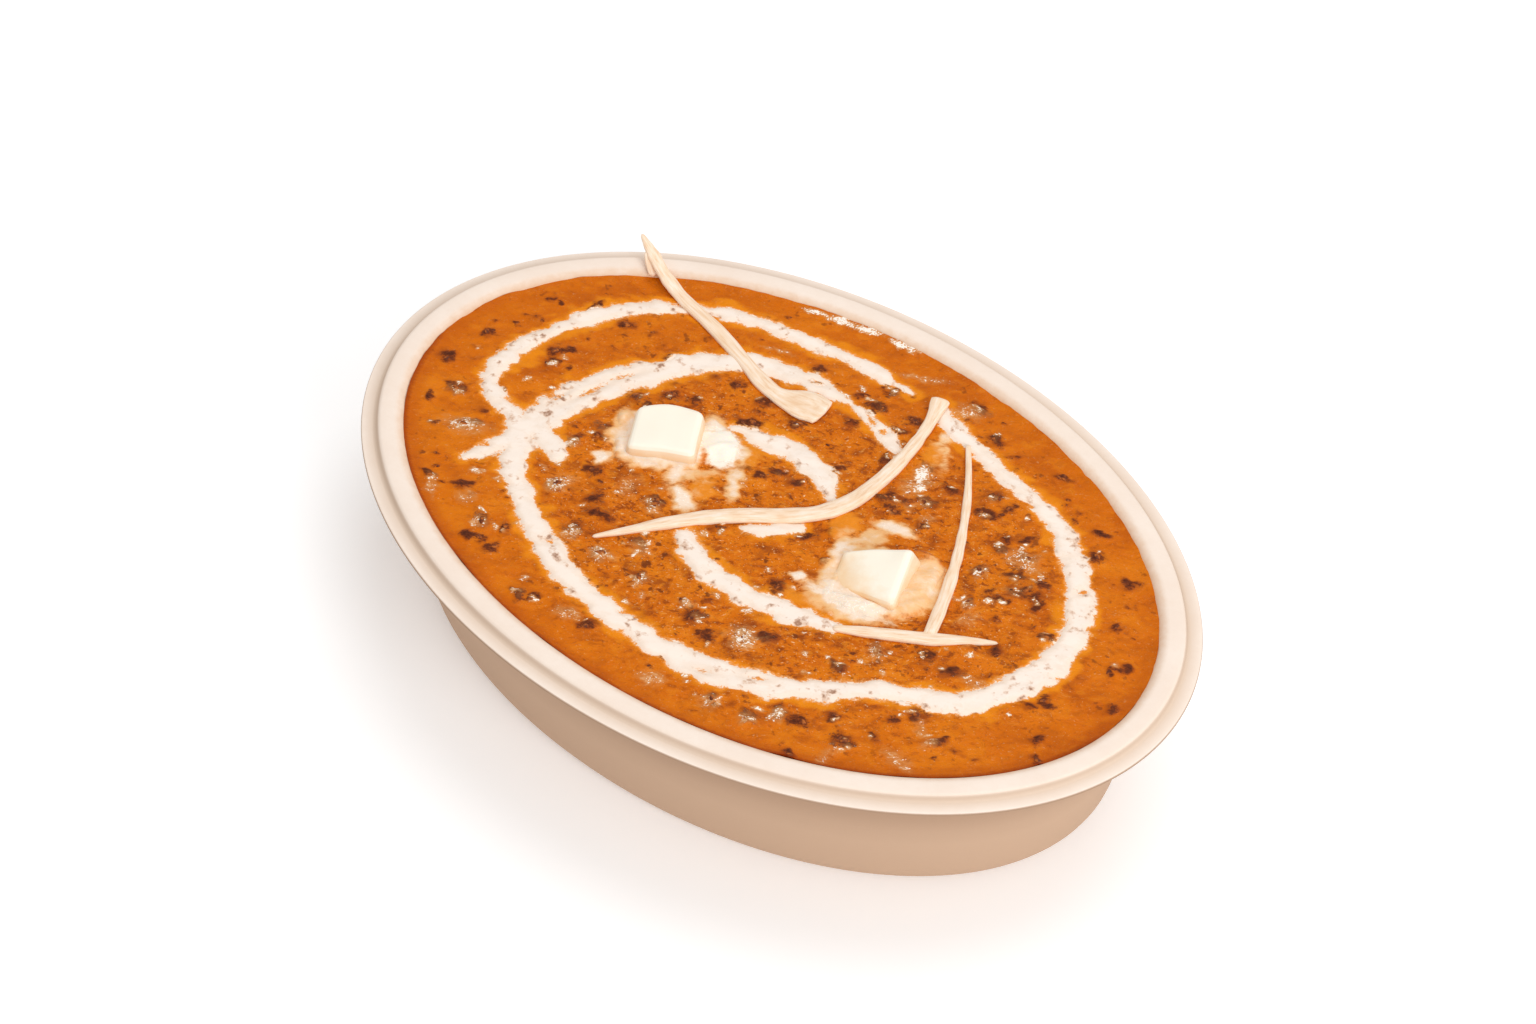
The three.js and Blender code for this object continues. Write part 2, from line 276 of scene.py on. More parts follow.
def makeBowl():
    under = sheetLine(bowl["sheet"])
    top = sheetLine(0)
    edge, lipZ = bowl["edge"], bowl["height"] - bowl["flangeDrop"]
    lip = arc((halfWidth - edge, lipZ - bowl["sheet"] + edge), edge, -90, 0, 4)
    lip += arc((halfWidth - edge, lipZ - edge), edge, 0, 90, 4)
    line = under + lip + top[::-1]
    clearSelection()
    bpy.ops.mesh.primitive_circle_add(
        vertices=bowl["facets"], radius=1, fill_type="NGON", location=(0, 0, line[0][1] * mm)
    )
    piece = bpy.context.object
    piece.name = "bowl_shell"
    bpy.ops.object.transform_apply(location=True, rotation=False, scale=False)
    bpy.ops.object.mode_set(mode="EDIT")
    bpy.ops.mesh.select_mode(type="FACE")
    bpy.ops.mesh.select_all(action="SELECT")
    size = ovalAxes(line[0][0])
    bpy.ops.transform.resize(value=(size[0] * mm, size[1] * mm, 1), center_override=(0, 0, 0))
    for (r, z), (nextR, nextZ) in zip(line, line[1:]):
        grow = ovalAxes(nextR) / ovalAxes(r)
        bpy.ops.mesh.extrude_region_move(TRANSFORM_OT_translate={"value": (0, 0, (nextZ - z) * mm)})
        bpy.ops.transform.resize(value=(grow[0], grow[1], 1), center_override=(0, 0, 0))
    bpy.ops.mesh.select_all(action="SELECT")
    bpy.ops.mesh.normals_make_consistent(inside=False)
    bpy.ops.object.mode_set(mode="OBJECT")
    shadeSmooth(piece, 50)
    # how much each place belongs to the outer face, which is painted browner and darker: partly the
    # pulp's own tone, partly painted shade
    places, normals = placesOf(piece), normalsOf(piece)
    outward = places[:, :2] / np.array([halfWidth + ovalExtra, halfWidth]) ** 2
    outward /= np.linalg.norm(outward, axis=1)[:, None] + 1e-9
    facing = (normals[:, :2] * outward).sum(1)
    outer = ramp(facing - normals[:, 2] * 0.8, 0.1, 0.8)
    # painted shade in the groove between the ridge and the lip
    fromGroove = ringRadius(places[:, 0], places[:, 1]) - halfWidth + bowl["flangeWidth"] + bowl["groove"]
    grooveShade = np.exp(-((fromGroove / bowl["grooveWidth"]) ** 2)) * ramp(normals[:, 2], 0.2, 0.5)
    storeField(piece, "shadedOuterFace", outer)
    # painted shadow on the outer face just under the lip
    storeField(piece, "underLipShadow", outer * ramp(places[:, 2], *bowl["lipShade"]))
    storeField(piece, "groove", 0.8 * grooveShade)
    # the inner wall at the waterline, for a band of painted shade and reflected gravy colour that is
    # partly a real stain
    storeField(piece, "innerWall", ramp(-facing, 0.03, 0.36) * ramp(places[:, 2], level - 1, level))
    return piece


# Moulded bagasse pulp, hot pressed: matt, off-white with a warm tint, faintly flocked by its
# fibres, browner and darker on the outer face, partly its own tone and partly painted shade,
# with painted shadow just under the lip and painted shade in the groove, and a band just above
# the waterline that is partly a gravy stain, partly painted shade and reflected gravy colour.
def mouldedPulp():
    material, tree = newMaterial("moulded_bagasse_pulp")
    place = addNode(tree, "ShaderNodeTexCoord").outputs["Object"]
    drawn = {"Scale": (1, 3.2, 2.2), "Rotation": (0.3, 0.2, 0.6)}
    alongFibres = addNode(tree, "ShaderNodeMapping", drawn, {"Vector": place}).outputs[0]
    noise = {}
    for name, size, detail, rough, way in (
        ("flock", 2.2, 4, 0.6, place),
        ("cloud", 16, 2, 0.5, place),
        ("fibres", 1.6, 3, 0.5, alongFibres),
    ):
        pattern = {"Scale": 1 / (size * mm), "Detail": detail, "Roughness": rough}
        noise[name] = addNode(tree, "ShaderNodeTexNoise", pattern, {"Vector": way}).outputs["Fac"]
    field = {
        name: addNode(tree, "ShaderNodeAttribute", {"attribute_name": name}).outputs["Fac"]
        for name in ("shadedOuterFace", "underLipShadow", "groove", "innerWall")
    }
    # the upper edge of the stain and painted shade wavers with the flock
    height = addNode(tree, "ShaderNodeSeparateXYZ", links={0: place}).outputs["Z"]
    waver = {"operation": "MULTIPLY_ADD", 1: 1.4 * mm}
    edge = addNode(tree, "ShaderNodeMath", waver, {0: noise["flock"], 2: height}).outputs[0]
    fade = {"From Min": (level + 2.8) * mm, "From Max": (level + 0.7) * mm}
    low = addNode(tree, "ShaderNodeMapRange", fade, {"Value": edge}).outputs[0]
    stainAndShade = addNode(
        tree, "ShaderNodeMath", {"operation": "MULTIPLY"}, {0: low, 1: field["innerWall"]}
    ).outputs[0]
    colour = paint(
        tree,
        "f3e0d0",
        (
            (noise["flock"], 0, 1, 1, "f9eadd"),
            (noise["cloud"], 0.35, 0.7, 0.35, "eed8c6"),
            # the outer face: partly a browner tone of the pulp, partly painted shade
            (field["shadedOuterFace"], 0, 1, 1, "c0a086"),
            # painted shadow under the lip
            (field["underLipShadow"], 0, 1, 1, "a3846c"),
            # painted shade in the groove
            (field["groove"], 0, 1, 1, "d6bda6"),
            # partly a gravy stain, partly painted shade and reflected gravy colour
            (stainAndShade, 0, 1, 0.8, "dcae80"),
        ),
    )
    return finishMaterial(
        material,
        colour,
        [(noise["fibres"], 0.35, 0.12)],
        {"Roughness": 0.82, "IOR": 1.45, "Specular IOR Level": 0.3},
    )


# Stops [x, y, half width] of each poured stroke.
cream = {
    "ring": [
        [-2, 55.2, 0.6], [-16, 55, 2], [-33, 52.6, 2], [-50, 48.8, 2], [-64, 40, 1.9], [-74.5, 29, 2.2],
        [-80.8, 14, 2.1], [-83, -1, 2.7], [-79.7, -11.7, 2.1], [-69, -16, 1.9], [-61, -21.5, 3.4],
        [-55, -31, 2.9], [-41, -40, 3], [-25.6, -47.8, 2.9], [-8.5, -50.9, 2.6], [10, -51.4, 3.2],
        [27, -47.8, 3.8], [41, -40, 2.9], [55, -28, 2.8], [69.5, -19.6, 3], [77, -5, 3.4], [78, 9, 3.4],
        [73, 23, 3.2], [62.5, 34.8, 3.1], [49.8, 43.2, 2.5], [33.5, 47.2, 1.9], [20, 50.2, 1.9],
        [14, 52, 2], [9.6, 54, 1.6], [7, 56.6, 0.8],
    ],
    "secondTurn": [
        [-67, -35.2, 0.7], [-65, -30, 2.1], [-63.2, -24, 2.8], [-62.5, -16, 3.6], [-62, -6, 4.5],
        [-60, 4, 4.9], [-55.5, 14, 4], [-50, 24, 3.4], [-44, 32, 3.3], [-36, 38, 3], [-26, 41.3, 2.9],
        [-17, 42.6, 2.2], [-8, 41.8, 0.9], [-3.6, 40.8, 2.1], [2, 39, 2.3], [6.4, 37, 1.5],
        [9.5, 34.8, 0.8],
    ],
    "drop": [[-61, -16.2, 2.2], [-55, -17, 2.6], [-51, -19.5, 1.6]],
    "innerUpper": [
        [-26, 16.4, 0.9], [-18.3, 18, 2.9], [-11.5, 19.4, 3.2], [-4.5, 19, 3.6], [1.5, 17, 3.1],
        [6.6, 13.8, 1.6],
    ],
    "innerLower": [
        [-11.4, -19.8, 1.9], [-6.6, -23, 3.1], [0, -25.2, 3], [8, -25.6, 2.8], [15.4, -25, 3],
        [22.5, -23.4, 2.8], [30, -21.4, 2.1], [35, -19, 0.9],
    ],
    "underMiddle": [[-2, -8.6, 1], [1.6, -6.2, 2.2], [5.4, -3, 2.1], [7.8, -0.4, 1]],
}
creamFinish = {
    "rise": 0.42,
    "edgeSoft": 0.8,
    "wander": 1.7,
    "ragged": 1.6,
    "cell": 0.5,
    "skin": 1.0,
    "skirt": 1.3,
    "margin": 6.5,
}

# Gravy that shows through the cream: [x, y, half length, half width, turn].
creamHoles = [
    [-3, 41, 2.6, 0.9, 150], [-21, 42.5, 2.2, 0.8, 20], [-60, 3, 5, 0.9, 75], [-57.5, 12, 3.4, 0.8, 60],
    [-64.5, -4, 3, 0.7, 85], [1.5, 39.6, 1.6, 1.1, 30], [-9, 43.4, 1.8, 0.7, 10], [20.5, -51, 2, 0.7, 20],
    [31, -44.5, 2.2, 0.8, 30], [70, 28, 1.5, 0.9, 60], [-33, -42.8, 1.4, 0.7, 20],
]

# Butterfat that has run into the gravy: [x, y, half length, half width, turn, how white].
fatPools = [
    [-37, 0, 11.6, 10.2, 30, 0.75], [-48, 0.5, 2.4, 4, 20, 0.45], [-23.6, 8.8, 6.8, 5.2, 140, 1.9],
    [-29, 13.5, 4.6, 2.4, 150, 0.55], [-25.6, -4.6, 2.2, 4.4, 10, 0.95], [-19.4, -11, 4.4, 2.6, 145, 0.9],
    [-21.5, -2, 4, 1.6, 40, 0.5], [-13.6, 1, 4.6, 1.5, 120, 0.7], [-17, 11, 4, 3, 120, 0.15],
    [-18, -5, 4.4, 3, 130, 0.1], [-42.6, -12.6, 2, 1.7, 60, 0.95], [31, -2, 12.6, 11.4, 20, 0.55],
    [40.5, 3, 11, 6, 105, 0.5], [43, 6, 2, 3, 30, 0.75], [22, 8.5, 5, 2.6, 65, 0.5],
    [19, 1.5, 4.8, 1.9, 100, 0.9], [24, 15, 4, 1.5, 18, 0.85], [30.5, -13, 9.6, 4.6, 4, 0.62],
    [31, -11.4, 10, 2.2, 6, 1.5], [24.5, -16.8, 4.6, 1.6, 10, 0.1], [17.4, -12, 1.1, 1.1, 0, 0.9],
    [15, 8, 3.4, 5, 20, 0.05], [15, 42.4, 2.4, 4.4, 20, 0.1], [14.2, 48.4, 1.8, 3.8, 15, 0.85],
    [17.4, 44, 0.8, 5, 30, 0.8],
]

# Lumps of lentils that break the surface: [x, y, half length, turn, froth beside it].
lumps = [
    [-12, 7.4, 4.4, 12, 0.3], [16.2, -18.4, 2.6, 165, 0.3], [40.8, 37.4, 3, 95, 0.2],
    [52.5, 28, 3, 20, 0.9], [37.2, 33.6, 2, 20, 0.3], [57.2, 22.4, 2.4, 10, 0.4],
    [57.4, 17.4, 2.4, 20, 0.5], [63.6, 18, 2.4, 95, 0.2], [14, 61.8, 2.3, 170, 0.5],
    [23, 56.6, 2.2, 160, 0.4], [-23.4, 47, 2.8, 30, 0.1], [-34.4, 29, 1.6, 80, 0],
    [-26.6, 28, 2, 40, 0.2], [-15, 27.4, 1.6, 20, 0.3], [-7, 37, 2.2, 20, 0.1], [-7, 11.8, 3, 20, 0.4],
    [-69.4, 27.4, 2, 25, 0], [-74.6, 9, 2, 40, 0.1], [-74, 4.4, 2.6, 20, 0], [-92.4, 2, 1.6, 100, 0],
    [-93.8, -11.2, 1.5, 100, 0], [-89.4, 22.2, 1.1, 90, 0], [-79.4, 27, 1.7, 60, 0],
    [-53.6, 25.2, 1.2, 30, 0.2], [-84.6, -18, 1.6, 20, 0.9], [-74.4, -26, 1.7, 60, 1],
    [-81.2, -31, 1.2, 20, 0.6], [-88, -24.4, 2.2, 155, 0.1], [-75, -20, 1.3, 0, 0.1],
    [-68.8, -44.8, 1.2, 10, 0.4], [-60.8, -42, 1.5, 60, 0], [-49.8, -48.4, 1.8, 150, 1],
    [-43.6, -46.6, 1.8, 120, 0.3], [-41.8, -53.4, 1.6, 80, 0], [-47.4, -53.8, 1.5, 40, 0],
    [-27.6, -60.4, 1.6, 150, 0.5], [-24, -59, 1.5, 60, 0], [-8.6, -57.8, 1.5, 70, 0.3],
    [-33.6, -23.6, 3.2, 62, 0], [-30.2, -28.4, 2, 10, 0.1], [-41, -18.4, 3, 8, 0.1],
    [-44.6, -26.6, 2.2, 60, 1], [-31.6, -37, 1.9, 80, 0.9], [-22, -37.6, 2.2, 20, 1],
    [-16.4, -29.4, 2.5, 165, 0.7], [-10, -38, 1.7, 100, 1], [-6.6, -12.6, 1.7, 30, 0.5],
    [-23, -17.2, 2.2, 150, 0.9], [-47.8, -8, 1.2, 150, 0.3], [-51.4, -13.4, 1.6, 70, 0.9],
    [-49.6, -4.8, 2, 20, 0.6], [8, 32.8, 1.6, 100, 0.3], [26.6, 35, 1.3, 20, 0.4],
    [48, 17.6, 1.8, 110, 0.9], [61, 47, 1.4, 20, 0], [65, 40.4, 1.6, 150, 0.2], [76, 38, 1.6, 30, 0],
    [43.6, 56, 1.5, 20, 0.1], [91.8, 14.2, 1.3, 60, 0], [89.8, 11.6, 1.3, 80, 0],
    [82.6, 23.6, 1.4, 100, 0], [97, 2.8, 1.3, 120, 0], [71.8, 10.4, 1.4, 20, 0.5],
    [66.6, -1.4, 1.7, 60, 0.1], [84.4, -6.6, 1.6, 20, 0], [82, -9.4, 1.7, 20, 0],
    [90.4, -16.8, 1.2, 60, 0], [94, -22, 1.6, 130, 0], [54.8, -12.4, 2.2, 130, 0.2],
    [61.8, -13, 1.8, 60, 0.3], [45.6, -19, 2.6, 150, 0.8], [42.6, -28.8, 2.4, 170, 0.5],
    [64.6, -29, 1.9, 60, 0.2], [62.2, -34.2, 1.7, 40, 0], [74.6, -32, 2.6, 60, 0.3],
    [57.6, -46.4, 2, 20, 0.5], [61.6, -41, 1.4, 20, 0.4], [52.2, -42.4, 1.6, 40, 0.3],
    [41, -49.6, 1.8, 110, 1], [36.4, -55.4, 1.9, 20, 0.8], [27, -57, 2, 120, 0.9],
    [46.4, -48.4, 1.9, 10, 0], [20, -36.8, 3.2, 130, 1], [24, -33, 2.6, 30, 0.4],
    [13.4, -41.8, 2.2, 10, 0.2], [8.6, -37.8, 1.9, 40, 0.6], [3.4, -36.6, 1.5, 20, 1],
    [8, -40.4, 1.1, 20, 0], [10.8, -0.6, 1.6, 40, 0.2], [15, 4.8, 1.2, 30, 0.2], [61, 24, 2.2, 20, 0.2],
    [50, 33, 1.5, 60, 0.3], [47, 27, 1.5, 20, 0.5], [54, 21, 1.5, 20, 0.5], [60, 19.6, 1.6, 110, 0.2],
    [46, 31, 1.3, 20, 0.3], [36, 39.4, 1.5, 20, 0.6], [-39, 18, 1.9, 30, 0.3], [-44, 15.4, 1.7, 40, 0.3],
    [-50, 9.4, 1.9, 70, 0.5], [-46, 8, 1.4, 60, 0.4], [-4.6, 46, 2.2, 10, 0.4],
    [-10.4, 46.6, 1.8, 20, 0.3], [-2, 12, 2, 30, 0.3], [2, 22, 1.3, 20, 0.2], [24, 27, 1.9, 30, 0.7],
    [21.6, 24, 1.6, 20, 0.6], [28.4, 20, 1.5, 60, 0.3], [16, 22, 1.6, 20, 0.4],
    [19.6, 19.6, 1.6, 10, 0.3], [5, 47.4, 1.5, 20, 0.3], [4.6, 43, 1.3, 20, 0.2], [-24, 20, 2.4, 20, 0.1],
    [50.8, -58, 1.2, 20, 0], [-21, 41.6, 1.5, 30, 0.9], [-5.2, 53, 1.3, 60, 0.6],
    [52.2, 7.2, 1.6, 110, 0.8], [57, 12.8, 1.6, 20, 0.2], [18.6, -4.8, 1.4, 30, 0.3],
]

# Paler froth and skins lying in the surface: [x, y, half length, half width, turn].
froths = [
    [-74, -26.5, 5.6, 2.6, 20], [-66, -47.4, 3.4, 1.2, 130], [-57.4, -45, 2.4, 1.8, 30],
    [-14.6, -57.8, 3.4, 2, 10], [12.6, -60.6, 3, 2.2, 20], [70.4, -43, 4, 2.2, 170],
    [68, -31.4, 2.8, 1.1, 140], [55.4, 26, 3, 1.6, 20], [19, 34, 4, 2.6, 120], [18, 28.6, 3, 2.2, 110],
    [28.4, 23, 1.6, 1.4, 30], [4, 38, 3.6, 1.6, 20], [0, 17, 5, 1.5, 10], [12.8, 59, 4, 2.4, 30],
    [-3, 61.6, 7, 1, 28], [-36, 45.4, 4, 0.6, 20], [55.2, 2.8, 1.2, 2.2, 170], [57.4, -53, 1.2, 2.8, 10],
    [-31.6, -16, 2, 3, 20], [70, -12.4, 4.4, 1.8, 0], [-17.6, 3.8, 2.8, 0.6, 10],
    [-12.4, 3.2, 2.4, 0.6, 140], [-11.4, -1.6, 2.6, 0.6, 100], [-15.4, -2.8, 2.8, 0.7, 20],
    [-44, -24.6, 3, 2, 30], [72.6, -34.4, 1.8, 1.2, 60], [26, 17, 3, 1, 20],
]

# Whiter beads and patches: a painted highlight as a broken white thread where the gravy meets the
# wall, then froth beside the middle ginger and in the thin stretch of the cream's second turn.
whiteFrothAndGlints = [
    [-37, 62.4, 3.2, 0.7, 18], [-30.5, 64.2, 3, 1, 15], [-23.5, 65.8, 3.6, 0.8, 12],
    [-14, 67.3, 3.6, 0.7, 6], [17.8, 33.8, 2.6, 1.7, 115], [20, 29.8, 1.3, 1.1, 100],
    [-13, 43.4, 2.2, 0.5, 170],
]

lentils = {
    "crumbs": 320,
    "crumb": (0.4, 0.95),
    "long": (1.0, 1.9),
    "slim": (0.5, 0.8),
    "lay": 36,  # degrees by which the stirring has turned them
    "warp": 1.0,  # how far their outlines are pushed about
    "raised": 0.35,  # share of the dark ones that stand out as solid shapes
    "beads": 90,
    "bead": (0.65, 1.05),
    "seed": 17,
}
# half length and half width of the dal's surface, and of the oval that crumbs and beads lie in
dalHalf = (wallRadius(level) + ovalExtra, wallRadius(level))
strewnHalf = (99, 67)


def strokeDistance(x, y, stops):
    nearest = np.full(np.shape(x), 50.0)
    rows = smoothStops(stops, 3)
    for (ax, ay, ar), (bx, by, br) in zip(rows, rows[1:]):
        dx, dy = bx - ax, by - ay
        share = np.clip(((x - ax) * dx + (y - ay) * dy) / (dx * dx + dy * dy), 0, 1)
        away = np.hypot(x - ax - share * dx, y - ay - share * dy) - (ar + share * (br - ar))
        nearest = np.minimum(nearest, away)
    return nearest


def ovalDistance(x, y, oval):
    cx, cy, long, slim, turn = oval
    c, s = math.cos(math.radians(turn)), math.sin(math.radians(turn))
    u, v = (x - cx) * c + (y - cy) * s, (y - cy) * c - (x - cx) * s
    return (np.hypot(u / long, v / slim) - 1) * min(long, slim)


# Distance in mm to the ragged edge of the cream, below zero inside it.
def creamDistance(x, y, strokes=tuple(cream)):
    away = np.full(np.shape(x), 50.0)
    for name in strokes:
        away = np.minimum(away, strokeDistance(x, y, cream[name]))
    away = away + (unevenness(x, y, 4.2, 1) - 0.5) * creamFinish["wander"]
    away = away + (unevenness(x, y, 1.5, 2, 1.8, 20) - 0.5) * creamFinish["ragged"]
    for hole in creamHoles:
        away = np.maximum(away, -ovalDistance(x, y, hole) - 0.2)
    return away


# Every lentil that shows: [x, y, half length, half width, turn, how dark]. Each lump is a few
# lentils side by side, and crumbs of skin lie all over.
def dealLentils():
    draw = np.random.default_rng(lentils["seed"])
    dealt = []
    for cx, cy, long, turn, froth in lumps:
        along = math.radians(turn)
        for _ in range(3 if long > 1.4 else 2):
            slip = draw.uniform(-0.6, 0.6) * long
            x = cx + slip * math.cos(along) + draw.normal(0, 0.35)
            y = cy + slip * math.sin(along) + draw.normal(0, 0.35)
            half = min(draw.uniform(*lentils["long"]), long)
            slim = half * draw.uniform(*lentils["slim"])
            dealt.append([x, y, half, slim, turn + draw.normal(0, 25), draw.uniform(0.8, 1)])
    for _ in range(lentils["crumbs"]):
        angle, reach = draw.uniform(0, 2 * math.pi), math.sqrt(draw.uniform(0, 1)) * 0.97
        x, y = strewnHalf[0] * reach * math.cos(angle), strewnHalf[1] * reach * math.sin(angle)
        half = draw.uniform(*lentils["crumb"])
        turn = draw.normal(lentils["lay"], 30)
        dealt.append([x, y, half, half * draw.uniform(*lentils["slim"]), turn, draw.uniform(0.35, 0.8)])
    return dealt


# Painted wet glints and froth beside the lumps: [x, y, half length, half width, turn, share].
def dealFroth():
    draw = np.random.default_rng(lentils["seed"] + 1)
    dealt = [[*row, 0.8] for row in froths] + [[*row, 1.5] for row in whiteFrothAndGlints]
    for x, y, long, turn, froth in lumps:
        if froth > 0.25:
            dealt.append([x + 0.3, y - 0.5, long * 1.15, long * 0.85, turn, froth])
        # small ovals for painted highlights round a frothy lump
        for _ in range(round(froth * 3)):
            glintX, glintY = x + draw.normal(0, long * 0.7), y + draw.normal(0, long * 0.6)
            dealt.append([glintX, glintY, 0.75, 0.5, turn, 1.2])
    # loose beads of froth, most of them in the front half
    for _ in range(lentils["beads"]):
        angle, reach = draw.uniform(0.9 * math.pi, 2.1 * math.pi), draw.uniform(0.25, 0.93)
        half = draw.uniform(*lentils["bead"])
        x, y = strewnHalf[0] * reach * math.cos(angle), strewnHalf[1] * reach * math.sin(angle)
        dealt.append([x, y, half, half * 0.8, lentils["lay"], draw.uniform(0.95, 1.4)])
    return dealt


lentilRows = dealLentils()
frothRows = dealFroth()


# Distance in mm to the foot of a pat of butter, where it stands in the dal.
def patDistance(x, y, side):
    pat = butter[side]
    c, s = math.cos(math.radians(pat["turn"])), math.sin(math.radians(pat["turn"]))
    u, v = (x - pat["x"]) * c + (y - pat["y"]) * s, (y - pat["y"]) * c - (x - pat["x"]) * s
    du = np.abs(u - pat["footShift"]) - pat["length"] / 2
    dv = np.abs(v) - pat["width"] / 2
    return np.hypot(np.clip(du, 0, None), np.clip(dv, 0, None)) + np.minimum(np.maximum(du, dv), 0)


# The share that a list of ovals gives each place: most in the middle of one, fading out round it.
def fromOvals(x, y, warpedX, warpedY, rows, middle, fade):
    share = np.zeros(len(x))
    for cx, cy, long, slim, turn, strength in rows:
        near = np.flatnonzero((np.abs(x - cx) < 9) & (np.abs(y - cy) < 9))
        reach = ovalDistance(warpedX[near], warpedY[near], (cx, cy, long, slim, turn)) / slim + 1
        share[near] = np.maximum(share[near], np.clip(middle - reach * fade, 0, 1) * strength)
    return share


# What lies at each place of the surface: distance to the cream, and shares of the rest.
def surfaceFields(x, y):
    wx = x + (unevenness(x, y, 1.7, 11) - 0.5) * 2 * lentils["warp"]
    wy = y + (unevenness(x, y, 1.5, 12) - 0.5) * 1.6 * lentils["warp"]
    fat, white, most = np.zeros(len(x)), np.zeros(len(x)), np.full(len(x), 1e-3)
    for cx, cy, long, slim, turn, pale in fatPools:
        share = ramp(-ovalDistance(wx, wy, (cx, cy, long, slim, turn)), -2.2, min(2.4, slim * 0.8))
        fat = np.maximum(fat, share)
        white, most = white + share * pale, most + share
    foot = np.minimum(patDistance(x, y, "left"), patDistance(x, y, "right"))
    fat = np.maximum(fat, ramp(-foot, -3.0, 0.3))
    # streaks are strongest round the middle, and painted shade darkens the edge by the wall, most at the
    # front
    stirred = 0.25 + 0.75 * (1 - ramp(np.hypot((x - 8) / 100, (y + 4) / 72), 0.45, 0.95))
    frontmost = 0.3 + 0.7 * ramp(-y, -45, 15)
    return {
        "creamEdge": np.clip(creamDistance(x, y), -6, 6),
        "lentil": fromOvals(x, y, wx, wy, lentilRows, 1.15, 0.5),
        "froth": fromOvals(x, y, wx, wy, frothRows, 1.3, 0.6),
        "fat": fat,
        "fatWhite": white / most * fat,
        "stirred": stirred,
        "wallShade": ramp(np.hypot(x / dalHalf[0], y / dalHalf[1]), 0.93, 1.0) * frontmost,
    }


def lowRelief(x, y):
    return (unevenness(x, y, 9, 5) - 0.5) * 0.5 + (unevenness(x, y, 3.4, 6, 1.6, 25) - 0.5) * 0.34


def dalRelief(x, y, fields):
    height = lowRelief(x, y)
    height = height + (unevenness(x, y, 1.5, 7, 1.8, 30) - 0.5) * 0.22
    height = height + fields["lentil"] * 0.5 + fields["fat"] * 0.3 + fields["froth"] * 0.12
    height = height - ramp(-fields["creamEdge"], -0.2, 1.4) * 0.75
    # the dal climbs half a millimetre where it wets the wall
    fromWall = (1 - np.hypot(x / dalHalf[0], y / dalHalf[1])) * 75
    return height + 0.5 * np.exp(-np.clip(fromWall, 0, 50) / 1.1)


def storeFields(piece, fields):
    for name, values in fields.items():
        storeField(piece, name, values)


